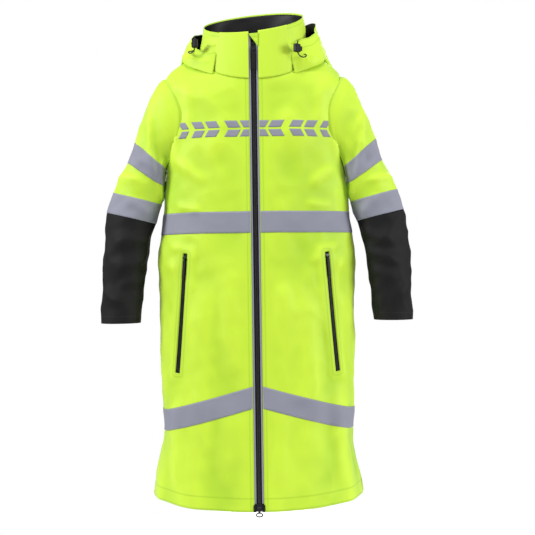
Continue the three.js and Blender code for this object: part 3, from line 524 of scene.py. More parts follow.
def weave(tree, thread):
    """The height of a plain weave with this thread spacing in millimetres."""
    uv = node(tree, "UVMap", uv_map="cloth_mm")
    waves = [node(tree, "TexWave", [(0, uv, 0)], bands_direction=axis, in_1=math.pi / (10 * thread))
             for axis in ("X", "Y")]
    return node(tree, "Math", [(0, waves[0], 1), (1, waves[1], 1)], operation="MULTIPLY")


def stitches(tree, attribute, offsets, axis, pitch=3.2):
    """Two masks for rows of stitching at distances from an edge: the thread, and the furrow that it lies in, which
    the cloth's material both dents and darkens with painted shade.
    """
    uv = node(tree, "UVMap", uv_map="cloth_mm")
    run = node(tree, "SeparateXYZ", [(0, uv, 0)])
    dash = node(tree, "Math", [(0, run, axis)], operation="PINGPONG", in_1=pitch / 2)
    dash = node(tree, "Math", [(0, dash, 0)], operation="GREATER_THAN", in_1=pitch * 0.14)
    edge = node(tree, "Attribute", attribute_name=attribute)
    thread = furrow = None
    for offset in offsets:  # the thread is 0.5 mm wide and fades out by 1.1, in a furrow 7 mm wide
        off = node(tree, "Math", [(0, edge, 2)], operation="SUBTRACT", in_1=offset)
        off = node(tree, "Math", [(0, off, 0)], operation="ABSOLUTE")
        line = node(tree, "MapRange", [(0, off, 0)], in_1=0.25, in_2=0.55, in_3=1.0, in_4=0.0)
        dent = node(tree, "MapRange", [(0, off, 0)], in_1=0.0, in_2=3.5, in_3=1.0, in_4=0.0,
                    interpolation_type="SMOOTHSTEP")
        line = node(tree, "Math", [(0, line, 0), (1, dash, 0)], operation="MULTIPLY")
        thread, furrow = greatest(tree, thread, line), greatest(tree, furrow, dent)
    return thread, furrow


# Noise scales, as features in a metre: cloudy wear 110 mm across, ripples of 40 mm, puckers of 9 mm between
# stitches, and a nap of 2.4 mm, which is coarser than the real one so that it shows.
CLOUDS, RIPPLES, PUCKERS, NAP = 9.0, 26.0, 110.0, 420.0


def woven_cloth(name, colour, shade, thread, side_rows, end_rows, roughness=0.62, stitch=None, **shader):
    """A woven, coated cloth: shade is its darker tone, mixed in at random as clouds and as painted shade in the
    valleys of its folds and in its stitch furrows, and rows of stitching follow its edges.
    """
    m, tree, bsdf = new_material(name, colour, roughness, **shader)
    coords = node(tree, "TexCoord")
    cloud = node(tree, "TexNoise", [(0, coords, 3)], in_2=CLOUDS, in_3=4.0, in_4=0.55)
    masks = [stitches(tree, "from_side", side_rows, 1)] if side_rows else []
    masks += [stitches(tree, "from_end", end_rows, 0)] if end_rows else []
    # Painted shade: the folds' height darkens the tone towards the shade colour in their valleys and keeps it at
    # the full colour on their ridges.
    relief = node(tree, "Attribute", attribute_name="relief")
    depth = node(tree, "MapRange", [(0, relief, 2)], in_1=3.0, in_2=-6.0, in_3=-0.2, in_4=0.5, clamp=False)
    cloud_and_painted_shade = node(tree, "Math", [(0, cloud, 0), (2, depth, 0)], operation="MULTIPLY_ADD", in_1=0.25,
                     use_clamp=True)
    # Painted shade: each stitch furrow darkens the tone towards the shade colour.
    for _, dent in masks:
        cloud_and_painted_shade = node(tree, "Math", [(0, dent, 0), (2, cloud_and_painted_shade, 0)], operation="MULTIPLY_ADD", in_1=0.45,
                         use_clamp=True)
    tone = node(tree, "Mix", [(0, cloud_and_painted_shade, 0)], data_type="RGBA", in_6=linear(colour), in_7=linear(shade))
    height = weave(tree, thread)
    nap = node(tree, "TexNoise", [(0, coords, 3)], in_2=NAP, in_3=3.0)
    height = node(tree, "Math", [(0, height, 0), (1, nap, 0)], operation="ADD")
    ripple = node(tree, "TexNoise", [(0, coords, 3)], in_2=RIPPLES, in_3=3.0, in_4=0.45)
    bump = node(tree, "Bump", [(2, ripple, 0)], in_0=0.5, in_1=0.003)
    bump = node(tree, "Bump", [(2, height, 0), (3, bump, 0)], in_0=0.22, in_1=0.0004)
    if masks:
        thread_mask, furrow = masks[0]
        for line, dent in masks[1:]:
            thread_mask, furrow = greatest(tree, thread_mask, line), greatest(tree, furrow, dent)
        tone = node(tree, "Mix", [(0, thread_mask, 0), (6, tone, 2)], data_type="RGBA",
                    in_7=linear(stitch or shade))
        pucker = node(tree, "TexNoise", [(0, coords, 3)], in_2=PUCKERS, in_3=1.0)
        pucker = node(tree, "Math", [(0, pucker, 0)], operation="MULTIPLY_ADD", in_1=0.9, in_2=-1.2)
        dent = node(tree, "Math", [(0, furrow, 0), (1, pucker, 0)], operation="MULTIPLY")
        dent = node(tree, "Math", [(0, thread_mask, 0), (2, dent, 0)], operation="MULTIPLY_ADD", in_1=0.6)
        bump = node(tree, "Bump", [(2, dent, 0), (3, bump, 0)], in_0=0.8, in_1=0.0018)
    tree.links.new(tone.outputs[2], bsdf.inputs["Base Color"])
    tree.links.new(bump.outputs[0], bsdf.inputs["Normal"])
    return m


def moulded(name, colour, roughness, grain, **shader):
    """A moulded or cast surface with a fine grain of this size in millimetres."""
    m, tree, bsdf = new_material(name, colour, roughness, **shader)
    coords = node(tree, "TexCoord")
    speck = node(tree, "TexNoise", [(0, coords, 3)], in_2=1000.0 / grain, in_3=2.0)
    rough = node(tree, "MapRange", [(0, speck, 0)], in_3=roughness * 0.8, in_4=roughness * 1.25)
    bump = node(tree, "Bump", [(2, speck, 0)], in_0=0.25, in_1=0.00005)
    tree.links.new(rough.outputs[0], bsdf.inputs["Roughness"])
    tree.links.new(bump.outputs[0], bsdf.inputs["Normal"])
    return m


LOOK = {}
# The shell's finishes: name, suffix of its material, and distances of its stitching from the sides and the ends.
SHELL_FINISHES = (("shell", "", (2, 8), (2, 9)), ("shell_hem", "_hem", (2, 8), (3, 30)),
                  ("shell_casing", "_casing", (), (2, 20)), ("shell_plain", "_facing", (), ()))


def make_materials(p):
    """Every finish of the coat. Thread spacings are in millimetres, coarser than the real ones to show."""
    # Each cloth's second colour is the shade that its material mixes in as random clouds and paints into fold
    # valleys and stitch furrows as painted shade.
    # Polyester oxford with a fluorescent dye and a coated back: a matt, slightly glowing, very even colour.
    for label, suffix, side_rows, end_rows in SHELL_FINISHES:
        LOOK[label] = woven_cloth("fluorescent_coated_polyester" + suffix, to_hex(p.shell_colour), "#a0cc1c", 1.2,
                                  side_rows, end_rows, stitch="#a9cf1c", Sheen_Weight=0.12, Sheen_Roughness=0.5)
    # The same cloth in black: deep, with a faint sheen where it folds.
    LOOK["forearm"] = woven_cloth("black_coated_polyester", "#131314", "#0c0c0d", 1.2, (), (2, 17), 0.7,
                                  stitch="#2a2a2c", Specular_IOR_Level=0.22)
    # Smooth woven taffeta: black with a soft satin glow.
    LOOK["lining"] = woven_cloth("black_taffeta", "#111013", "#0b0a0d", 0.8, (), (3,), 0.5, stitch="#232226",
                                 Specular_IOR_Level=0.25)
    # Glass bead tape on a woven back: pale lilac grey, satin, sewn along both edges.
    LOOK["tape"] = woven_cloth("glass_bead_tape", "#8b8c9a", "#7e7f8e", 0.7, (), (2.2,), 0.72, stitch="#a9abb8",
                               Specular_IOR_Level=0.35)
    # The same beads pressed on as a film: the same grey, without stitches.
    LOOK["print"] = woven_cloth("glass_bead_transfer", "#8b8c9a", "#7e7f8e", 0.6, (), (), 0.72,
                                Specular_IOR_Level=0.35)
    # Ribbed polyester webbing: dull black, with the zip's sewing line near its edge.
    LOOK["zip_tape"] = woven_cloth("woven_zip_tape", "#101011", "#0b0b0c", 0.9, (2,), (), 0.8, stitch="#1e1e20",
                                   Specular_IOR_Level=0.2)
    # Injection moulded acetal teeth: near black, smooth, with small sharp highlights.
    LOOK["teeth"] = moulded("moulded_acetal", "#2b2b2f", 0.35, 0.6)
    # Soft PVC moulded round a cord: matt black with a dull, broad shine.
    LOOK["pull"] = moulded("moulded_rubbery_pvc", "#0e0e0f", 0.55, 0.5, Specular_IOR_Level=0.3)
    # Injection moulded nylon: black, with a fine spark texture that spreads its highlights.
    LOOK["lock"] = moulded("moulded_nylon", "#0c0c0d", 0.5, 0.7, Specular_IOR_Level=0.3)
    # Die cast zinc, tumbled and plated gunmetal: dark, with a soft metal shine.
    LOOK["zinc"] = moulded("cast_zinc_gunmetal", "#414248", 0.36, 0.8, Metallic=1.0)
    LOOK["cord"] = braid("braided_polyester_cord")


STRANDS = 260.0  # scale of the cord's crossing strands, about 1.2 mm apart


def braid(name):
    """Braided polyester cord: fine crossing strands, with a painted highlight of small lighter dots where they
    cross.
    """
    m, tree, bsdf = new_material(name, "#18181a", 0.7)
    coords = node(tree, "TexCoord")
    waves = [node(tree, "TexWave", [(0, coords, 3)], bands_direction=axis, in_1=STRANDS, in_2=1.0)
             for axis in ("DIAGONAL", "Z")]
    cross = node(tree, "Math", [(0, waves[0], 1), (1, waves[1], 1)], operation="MULTIPLY")
    # Painted highlight: the crossings are mixed towards a lighter grey.
    tone = node(tree, "Mix", [(0, cross, 0)], data_type="RGBA", in_6=linear("#101011"), in_7=linear("#2d2d30"))
    bump = node(tree, "Bump", [(2, cross, 0)], in_0=0.6, in_1=0.0003)
    tree.links.new(tone.outputs[2], bsdf.inputs["Base Color"])
    tree.links.new(bump.outputs[0], bsdf.inputs["Normal"])
    return m


# ---- Properties -----------------------------------------------------------------------------------
class CoatSettings(PropertyGroup):
    """Sizes and colours a user may change."""
    shell_colour: FloatVectorProperty(name="Shell colour", description="Linear colour of the fluorescent shell",
                                      subtype="COLOR", size=3, default=(0.56, 0.8, 0.03), min=0, max=1)
    camera_distance: FloatProperty(name="Camera distance", description="From the lens to the middle of the coat",
                                   unit="LENGTH", default=2.62)
    lens: FloatProperty(name="Lens", description="Focal length in millimetres on a 36 mm sensor", default=73.1)
    roll: FloatProperty(name="Camera roll", description="How far the camera leans", subtype="ANGLE",
                        default=math.radians(0.8))
    tape_lift: FloatProperty(name="Tape lift", description="Thickness that a sewn tape adds, in millimetres",
                             default=0.9)
    tooth_pitch: FloatProperty(name="Tooth pitch", description="Front zip tooth spacing in millimetres",
                               default=3.0)


def settings():
    return bpy.context.scene.coat


# ---- Operators ------------------------------------------------------------------------------------
CAMERA_X, CAMERA_H = 26, 556
# Area lights: name, place, aim, size in metres, watts.
LIGHTS = (("key", (-2.5, -1.2, 0.9), (0, 0, -0.45), 0.8, 70), ("fill", (2.6, -1.2, 0.1), (0, 0, -0.6), 0.9, 52),
          ("top", (0, -1.0, 2.0), (0, 0, -0.4), 1.0, 26), ("rear", (0.4, 2.4, 0.7), (0, 0, -0.5), 1.4, 60))
WORLD_LIGHT, BACKDROP_WHITE = 0.4, 1.0
FLOOR_RADIUS, FLOOR_HEIGHT = 1.15, -1.42


class COAT_OT_stage(Operator):
    """Camera, lights, backdrop and floor"""
    bl_idname = "coat.stage"
    bl_label = "Stage"

    def execute(self, context):
        p = settings()
        scene = context.scene
        bpy.ops.object.camera_add(location=placed((CAMERA_X, -1000 * p.camera_distance, CAMERA_H)),
                                  rotation=(math.pi / 2, p.roll, 0))
        camera = context.object
        camera.data.lens = p.lens
        scene.camera = camera
        scene.view_settings.view_transform = "Standard"
        for name, place, aim, size, watts in LIGHTS:
            bpy.ops.object.light_add(type="AREA", location=place)
            light = context.object
            light.name = name + "_light"
            light.data.size = size
            light.data.energy = watts
            x, y, z = np.array(aim) - np.array(place)
            light.rotation_euler = math.atan2(np.hypot(x, y), -z), 0, math.atan2(-x, y)
        world = bpy.data.worlds.new("studio")
        world.use_nodes = True
        tree = world.node_tree
        tree.nodes["Background"].inputs[0].default_value = (1, 1, 1, 1)
        tree.nodes["Background"].inputs[1].default_value = WORLD_LIGHT
        backdrop = node(tree, "Background", in_0=(1, 1, 1, 1), in_1=BACKDROP_WHITE)
        seen = node(tree, "LightPath")
        mixed = node(tree, "MixShader", [(0, seen, 0), (1, tree.nodes["Background"], 0), (2, backdrop, 0)])
        tree.links.new(mixed.outputs[0], tree.nodes["World Output"].inputs[0])
        scene.world = world
        bpy.ops.mesh.primitive_circle_add(vertices=160, radius=FLOOR_RADIUS, fill_type="NGON",
                                          location=(0, 0, FLOOR_HEIGHT))
        floor = context.object
        floor.name = "floor"
        floor.data.materials.append(new_material("painted_studio_floor", "#ffffff", 0.9)[0])
        return {"FINISHED"}


CORD_WIDE = 2.8
LOCK_BORE = 2.5  # the cord runs this far beside the middle of its lock
# Each lock's theta, height and distance from the neck, and how deep its cord's eyelet in the hood lies.
LOCKS = {1: (0.7, 1068, 22, 1.8), -1: (1.0, 1086, 29, 9)}


def hood_cord(side):
    """A hood cord's route: out of its eyelet in the hood, round in a small loop and up through its lock."""
    theta, h, out, depth = LOCKS[side]
    neck = (NECK_WIDE * math.sin(theta), -front_depth(NECK_FRONT) * math.cos(theta))
    facing = math.atan2(neck[0], -neck[1])
    route = ((28, depth, -10), (27.5, depth - 4.5, -11.5), (24.5, -6.5, -15), (17, -7, -19.5), (7, -4, -19),
             (1.5, 0, -12), (0, 0, 0), (0, 0, 12), (0, -1, 17))
    c, s = math.cos(facing), math.sin(facing)
    points = []
    for x, y, z in route:
        x += LOCK_BORE
        points.append((side * (neck[0] + out * s + x * c - y * s), neck[1] - out * c + x * s + y * c, h + z))
    return placed(points)


class COAT_OT_cords(Operator):
    """The two hood cords"""
    bl_idname = "coat.cords"
    bl_label = "Hood cords"

    def execute(self, context):
        for side, name in SIDES:
            route = hood_cord(side)
            curve = bpy.data.curves.new(f"braided_hood_cord_{name}", "CURVE")
            curve.dimensions = "3D"
            curve.bevel_depth = CORD_WIDE / 2000
            curve.bevel_resolution = 4
            curve.use_fill_caps = True
            spl = curve.splines.new("BEZIER")
            spl.bezier_points.add(len(route) - 1)
            for point, place in zip(spl.bezier_points, route):
                point.co = place
                point.handle_left_type = point.handle_right_type = "AUTO"
            o = bpy.data.objects.new(curve.name, curve)
            context.collection.objects.link(o)
            curve.materials.append(LOOK["cord"])
            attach(o, "coat")
            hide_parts(f"hood_cord_{name}")
        return {"FINISHED"}


SEAM_GAP, VENT_SPREAD = 0.0012, 0.03  # radians from the side seam, above the vent and added at the hem


def vent_gap(h):
    return VENT_SPREAD * np.maximum(0, 1 - h / VENT) + SEAM_GAP


def on_side(side, theta, *values):
    """A grid of the wearer's left side as it is, or turned over to the right."""
    return (theta, *values) if side > 0 else (2 * math.pi - theta[:, ::-1], *(v[:, ::-1] for v in values))


def front_strip(columns, rows, low, high, side, edge):
    """Theta and height over a strip across a front, between the heights low and high."""
    u, v = grid(columns, rows)
    guess = u * SIDE_SEAM
    h = mix(low(guess), high(guess), v)
    start = theta_at(edge, h)
    theta = mix(start, mix(start, SIDE_SEAM - vent_gap(h), 1.0), u)
    h = mix(low(theta), high(theta), v)
    return on_side(side, theta, h)


def hem(theta):
    """The shell's bottom edge, which rises a little to the side vents."""
    return HEM_RISE * np.sin(theta) ** 2


def neck_edge(theta):
    """The shell's top edge, just under the collar."""
    return neck_height(theta) - NECK_SEAM


PANEL_COLUMNS = (52, 2, 24)  # from the zip to the pocket's slot, across the slot, and on to the side seam
SLOT_HEIGHTS = (270, 650)  # between these the columns follow the slot


def panel_grid(rows, side):
    """Theta and height over a front panel, the distance from its pocket's slot, and which faces lie in the slot."""
    counts = PANEL_COLUMNS
    column = np.arange(sum(counts) + 1)
    guess = np.linspace(0, SIDE_SEAM, len(column))
    v = np.linspace(0, 1, rows + 1)[:, None]
    h = mix(hem(guess), neck_edge(guess), v)
    for _ in range(3):
        level = np.clip(h, *SLOT_HEIGHTS)
        line = POCKET_BOTTOM[0] + (POCKET_TOP[0] - POCKET_BOTTOM[0]) * (level - POCKET_BOTTOM[1]) / (
            POCKET_TOP[1] - POCKET_BOTTOM[1])
        start, end = theta_at(PANEL_EDGE, level), SIDE_SEAM - vent_gap(level)
        half = POCKET_HALF * POCKET[1][0]
        slot = [(theta_at(line + k * half, level) - start) / (end - start) for k in (-1, 1)]
        knots = [0 * level, *slot, 0 * level + 1]
        share = np.zeros_like(level)
        first = 0
        for k, count in enumerate(counts):
            here = (column >= first) & (column <= first + count)
            share[:, here] = mix(knots[k], knots[k + 1], ((column - first) / count)[None])[:, here]
            first += count
        start = theta_at(PANEL_EDGE, h)
        theta = mix(start, SIDE_SEAM - vent_gap(h), share)
        h = mix(hem(theta), neck_edge(theta), v)
    across, _, along = at_pocket(body(theta, h))
    beyond = np.maximum(np.abs(along) - POCKET[4] / 2, 0)
    distance = np.hypot(np.maximum(np.abs(across) - POCKET_HALF, 0), beyond)
    middle = (along[:-1, :-1] + along[1:, 1:]) / 2
    inside = (np.abs(middle) < POCKET[4] / 2) & (column[:-1] >= counts[0]) & (column[:-1] < counts[0] + counts[1])
    return on_side(side, theta, h, distance, inside)


def back_grid(columns, rows, low, high):
    """Theta and height over the back, between the heights low and high."""
    u, v = grid(columns, rows)
    guess = mix(SIDE_SEAM, 3 * SIDE_SEAM, u)
    h = mix(low(guess), high(guess), v)
    gap = vent_gap(h)
    return mix(SIDE_SEAM + gap, 3 * SIDE_SEAM - gap, u), h


ARMHOLE_TUCK = 0.93  # the hole in the panels is this much smaller than the sleeve's end, which covers its edge


def outside_armhole(theta, h, side):
    """Which faces of a grid lie outside the armhole, a little inside the sleeve's seam."""
    turn = np.linspace(0, 2 * math.pi, 97)
    _, hole_theta, hole_h = armhole(turn)
    if side < 0:
        hole_theta = 2 * math.pi - hole_theta
    a, b = (mean + (line - mean) * ARMHOLE_TUCK for mean, line in ((hole_theta.mean(), hole_theta),
                                                                   (hole_h.mean(), hole_h)))
    x, y = (theta[:-1, :-1] + theta[1:, 1:]) / 2, (h[:-1, :-1] + h[1:, 1:]) / 2
    inside = np.zeros(x.shape, bool)
    for i in range(len(a) - 1):
        crosses = (b[i] > y) != (b[i + 1] > y)
        step = b[i + 1] - b[i] if b[i + 1] != b[i] else 1e-9
        inside ^= crosses & (x < (a[i + 1] - a[i]) * (y - b[i]) / step + a[i])
    return ~inside


def outside_armholes(theta, h):
    return outside_armhole(theta, h, 1) & outside_armhole(theta, h, -1)


class COAT_OT_body(Operator):
    """Front and back panels"""
    bl_idname = "coat.body"
    bl_label = "Body panels"

    def execute(self, context):
        for side, name in SIDES:
            theta, h, distance, inside = panel_grid(264, side)
            o = cloth(f"coated_front_{name}", worn(theta, h), LOOK["shell_hem"], slot=distance,
                      keep=outside_armhole(theta, h, side) & ~inside, edges=(1, 1, 1, 0), relief=folds(theta, h))
            hung(o, f"front_panel_{name}")
        theta, h = back_grid(130, 240, hem, neck_edge)
        keep = outside_armholes(theta, h)
        o = cloth("coated_back", worn(theta, h), LOOK["shell_hem"], keep=keep, edges=(1, 1, 1, 0),
                  relief=folds(theta, h))
        hung(o, "back_panel")
        return {"FINISHED"}


LINING_HEM, LINING_EDGE = 32, 20  # above the shell's hem, and from the middle of the front
LINING_GAP = (3.0, 7.5)  # how far inside the shell the lining hangs, at its edges and away from them


class COAT_OT_lining(Operator):
    """The body lining"""
    bl_idname = "coat.lining"
    bl_label = "Body lining"

    def execute(self, context):
        u, v = grid(120, 90)
        guess = 2 * math.pi * u
        h = mix(LINING_HEM, neck_height(guess) - 1, v)
        start = theta_at(LINING_EDGE, h)
        theta = mix(start, 2 * math.pi - start, u)
        off = -mix(*LINING_GAP, smooth(np.minimum(np.minimum(u, 1 - u), np.minimum(v, 1 - v)) / 0.08))
        keep = outside_armholes(theta, h)
        o = cloth("taffeta_body_lining", worn(theta, h, off), LOOK["lining"], LINING_THICK, keep=keep)
        hung(o, "body_lining", "pocket_bag_left", "pocket_bag_right", slot="lining")
        return {"FINISHED"}


class COAT_OT_tapes(Operator):
    """Reflective tapes round the body"""
    bl_idname = "coat.tapes"
    bl_label = "Body tapes"

    def execute(self, context):
        lift = settings().tape_lift
        def lower(theta):
            return mix(LOWER_TAPE_SIDE, LOWER_TAPE_FRONT, 1 - np.abs(power(np.sin(theta), SECTION)))

        for label, middle in (("waist", lambda theta: WAIST_TAPE + 0 * theta), ("lower", lower)):
            low, high = lambda theta: middle(theta) - TAPE_WIDE / 2, lambda theta: middle(theta) + TAPE_WIDE / 2
            for side, name in SIDES:
                theta, h = front_strip(60, 12, low, high, side, PANEL_EDGE + 0.6)
                o = cloth(f"bead_{label}_tape_{name}", worn(theta, h, lift), LOOK["tape"], TAPE_THICK,
                          edges=(0, 0, 1, 1))
                hung(o, f"{label}_tape_{name}", held="stretched", slot="reflective")
            theta, h = back_grid(116, 12, low, high)
            o = cloth(f"bead_{label}_tape_back", worn(theta, h, lift), LOOK["tape"], TAPE_THICK, edges=(0, 0, 1, 1))
            hung(o, f"{label}_tape_back", held="stretched", slot="reflective")
        return {"FINISHED"}


# Chevron marks from the zip outwards: start and end distance from the middle of the coat.
CHEVRONS = ((12, 25), (32, 61), (80, 107), (115, 139), (153, 170))
# The height of their middle line, the slot between their two rows, a row's height, and how far a mark leans.
CHEVRON_MIDDLE, CHEVRON_SLOT, CHEVRON_ROW, CHEVRON_LEAN = 880, 4.6, 16.5, 9
CHEVRON_LIFT, CHEVRON_THICK = 0.35, 0.25


class COAT_OT_chevrons(Operator):
    """Printed reflective chevrons across the chest"""
    bl_idname = "coat.chevrons"
    bl_label = "Chest chevrons"

    def execute(self, context):
        for side, name in SIDES:
            vertices, faces = [], []
            columns, rows = 8, 5
            for x0, x1 in CHEVRONS:
                for row in (1, -1):
                    u, v = grid(columns, rows)
                    x = mix(x0, x1, u) + CHEVRON_LEAN * v * (u if x0 == CHEVRONS[0][0] else 1)
                    h = CHEVRON_MIDDLE + row * (CHEVRON_SLOT / 2 + CHEVRON_ROW * v)
                    theta = theta_at(x, h)
                    if side < 0:
                        theta = 2 * math.pi - theta
                    base = len(vertices)
                    vertices += list(placed(worn(theta, h, CHEVRON_LIFT).reshape(-1, 3)))
                    for i in range(rows):
                        for j in range(columns):
                            low = base + i * (columns + 1) + j
                            high = low + columns + 1
                            quad = [low, low + 1, high + 1, high]
                            faces.append(quad if side * row > 0 else quad[::-1])
            o = object_of(f"printed_chevrons_{name}", vertices, faces, LOOK["print"])
            add_modifier(o, "SOLIDIFY", thickness=CHEVRON_THICK / 1000, offset=-1)
            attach(o, "coat")
        return {"FINISHED"}


def sleeve_grid(columns, rows, start, end, side):
    """Turn and section over a sleeve piece; start and end are section numbers or functions of the turn."""
    u, v = grid(columns, rows)
    turn = -2 * math.pi * u * side
    low = start(turn) if callable(start) else start + 0 * u
    high = end(turn) if callable(end) else end + 0 * u
    return turn, mix(low, high, v)


FOREARM = 8.0  # the section at which the black forearm starts
SLEEVE_TAPES = (("upper", 4.0, 5.0), ("lower", 7.0, 8.0))  # the sections between which they lie
ARMHOLE_OVERLAP = 0.09  # sections that the sleeve reaches in past the body's surface
SLEEVE_LINING_GAP = 3.5


class COAT_OT_sleeves(Operator):
    """Sleeves, their linings and their tapes"""
    bl_idname = "coat.sleeves"
    bl_label = "Sleeves"

    def execute(self, context):
        lift = settings().tape_lift
        turns = np.linspace(-2 * math.pi, 2 * math.pi, 385)
        seam = armhole(turns)[0] - ARMHOLE_OVERLAP
        start = lambda turn: np.interp(turn, turns, seam)
        for side, name in SIDES:
            add = lambda label, *a, **k: cloth(f"{label}_{name}", *a, closed=True, **k)
            turn, s = sleeve_grid(84, 84, start, FOREARM, side)
            roll = 1.3 * np.exp(-(((s - start(turn)) * 40 - 9) / 5) ** 2)
            o = add("coated_upper_sleeve", sleeve(turn, s, side, roll)[::-1], LOOK["shell"], edges=(0, 0, 1, 1),
                    relief=sleeve(turn, s, side, folds_only=True)[::-1])
            hung(o, f"sleeve_upper_{name}")
            turn, s = sleeve_grid(84, 76, FOREARM, CUFF, side)
            o = add("coated_forearm", sleeve(turn, s, side)[::-1], LOOK["forearm"], edges=(0, 0, 1, 0))
            hung(o, f"sleeve_lower_{name}", slot="black_cloth")
            turn, s = sleeve_grid(60, 60, lambda t: start(t) + 0.1, CUFF - 0.15, side)
            o = add("taffeta_sleeve_lining", sleeve(turn, s, side, -SLEEVE_LINING_GAP)[::-1], LOOK["lining"],
                    thick=LINING_THICK)
            hung(o, f"sleeve_lining_{name}", slot="lining")
            for label, low, high in SLEEVE_TAPES:
                turn, s = sleeve_grid(84, 12, lambda t: np.maximum(low, start(t)),
                                      lambda t: np.maximum(high, start(t) + 0.15), side)
                o = add(f"bead_{label}_sleeve_tape", sleeve(turn, s, side, lift)[::-1], LOOK["tape"],
                        thick=TAPE_THICK, edges=(0, 0, 1, 1))
                hung(o, f"sleeve_tape_{label}_{name}", held="stretched", slot="reflective")
        return {"FINISHED"}


COLLAR_LINING_GAP, FACING_LIFT = 2.2, 1.9
FACING_END = math.radians(41)  # how far round the neck the front facings go


def collar_edge(edge, v):
    """The theta at which the collar starts, a distance from the middle of the front."""
    return np.arcsin(edge / mix(NECK_WIDE, COLLAR_WIDE, v))


class COAT_OT_collar(Operator):
    """Stand collar, its front facings and its lining"""
    bl_idname = "coat.collar"
    bl_label = "Collar"

    def execute(self, context):
        u, v = grid(150, 26)
        start = collar_edge(PANEL_EDGE, v)
        theta = mix(start, 2 * math.pi - start, u)
        points = collar(theta, v)
        still = smooth((0.5 - np.abs(u - 0.5)) * 8) * smooth((1 - v) * 6) * smooth(v * 6)
        points = lifted(points, 1.2 * crumple(points, 60, 31) * still - 0.25 * smooth(1 - v * 12))
        o = cloth("coated_collar", points, LOOK["shell"], edges=(1, 1, 0, 1))
        hung(o, "collar_shell")
        inner = points[:, 6:-6]
        o = cloth("taffeta_collar_lining", lifted(inner, -COLLAR_LINING_GAP)[:-1], LOOK["lining"], LINING_THICK)
        hung(o, "collar_lining", slot="lining")
        for side, name in SIDES:
            u, v = grid(30, 30)
            theta, = on_side(side, mix(collar_edge(PANEL_EDGE + 0.2, v), FACING_END, u))
            o = cloth(f"coated_collar_facing_{name}", lifted(collar(theta, 1.005 * v), FACING_LIFT),
                      LOOK["shell_plain"], FACING_THICK)
            hung(o, f"collar_facing_{name}")
        return {"FINISHED"}


HOOD_START = math.radians(42)
# Degrees round from the front: the rim's height, and how far it stands out from the neck.
HOOD_RIM = ((42, 1084, -6.5), (47, 1084, -4), (54, 1085, 3), (64, 1087, 9), (78, 1100, 13), (104, 1134, 20),
            (140, 1146, 42), (180, 1148, 60))
HOOD_TUCK = 0.35  # the share of the hood's cloth that lies flat against the coat
HOOD_LINING_GAP, HOOD_LINING_ROW = 2.0, 28  # the lining starts at this row of the hood's cloth


def hood_value(theta, front, side, back):
    """A value that goes from the front end by the side to the back of the hood."""
    turned = math.pi - np.abs(math.pi - theta) - HOOD_START
    span = math.pi - HOOD_START
    t, at_side = turned / span, (SIDE_SEAM - HOOD_START) / span
    behind = mix(side, back, smooth((t - at_side) / (1 - at_side)))
    return np.where(t < at_side, mix(front, side, t / at_side), behind)


def hood(theta, v):
    """The stowed hood: down the back from the collar seam, round its bottom and up to its rim."""
    turned = np.degrees(math.pi - np.abs(math.pi - theta))
    free = smooth((turned - HOOD_RIM[0][0]) / 20)  # from the sewn front ends to the loose sides
    drop = hood_value(theta, 4, 16, 190)

    def under(k):
        return worn(theta, neck_height(theta) - drop * k - 1, mix(1.2, 5.0, free))

    first = under(np.minimum(v / HOOD_TUCK, 1))
    away = np.stack([np.sin(theta), -np.cos(theta), 0 * theta], -1)
    bulge = (hood_value(theta, 8, 13, 82) * mix(0.15, 1, free))[..., None]
    rim_h = spline([row[:2] for row in HOOD_RIM], turned) + COLLAR_LEAN * NECK_WIDE * np.sin(theta) * free
    bottom = under(np.ones_like(v))
    neck = np.stack([*neckline(theta), rim_h], -1)
    rim = neck + away * spline([row[::2] for row in HOOD_RIM], turned)[..., None]
    low = bottom + away * bulge + np.stack([0 * drop, 0 * drop, -0.12 * drop], -1)
    high = rim + away * bulge * 0.5
    high[..., 2] = mix(bottom[..., 2], rim_h, 0.7)
    k = np.clip((v - HOOD_TUCK) / (1 - HOOD_TUCK), 0, 1)[..., None]
    second = (1 - k) ** 3 * bottom + 3 * k * (1 - k) ** 2 * low + 3 * k * k * (1 - k) * high + k**3 * rim
    return np.where((v < HOOD_TUCK)[..., None], first, second)


class COAT_OT_hood(Operator):
    """The stowed hood and its lining"""
    bl_idname = "coat.hood"
    bl_label = "Hood"

    def execute(self, context):
        u, v = grid(150, 70)
        theta = mix(HOOD_START, 2 * math.pi - HOOD_START, u)
        points = hood(theta, mix(0.02, 1, v))
        sag = smooth((v - 0.3) * 3) * smooth((np.minimum(u, 1 - u)) * 14)
        wave = sag * (3.5 * crumple(points * (1, 1, 0.6), 110, 41) + 1.4 * crumple(points, 45, 42)
                      + 5 * pleats(points * (1, 1, 1.6), 120, 43, 0.5) + 1.1 * pleats(points, 44, 44, 0.5))
        points = lifted(points, wave)
        o = cloth("coated_hood", points, LOOK["shell_casing"], edges=(0, 0, 0, 1), relief=wave)
        hung(o, "hood_shell")
        inside = lifted(points, -HOOD_LINING_GAP)[HOOD_LINING_ROW:]
        o = cloth("taffeta_hood_lining", inside, LOOK["lining"], LINING_THICK, edges=(0, 0, 0, 0))
        hung(o, "hood_lining", slot="lining")
        return {"FINISHED"}


# Depths are behind the shell's face, and x is the distance from the middle of the zip.
TOOTH_GAP = 0.35  # half the gap between the two rows of teeth
ZIP_LENGTH, ZIP_TAPE_X, ZIP_TAPE_DEPTH, ZIP_TAPE_THICK, ZIP_ROWS = 1080, (0.8, 13), 2.5, 0.8, 220
TOOTH, CHAIN_DEPTH = (2.85, 2.5, 1.9), 2.9
PIPING_X, PIPING_ENDS, PIPING_DEPTH, PIPING_BULGE = (6.5, 11.4), (18, 1102), 1.7, 1.5
FLAP_HALF, FLAP_DEPTH = 16, 6.6
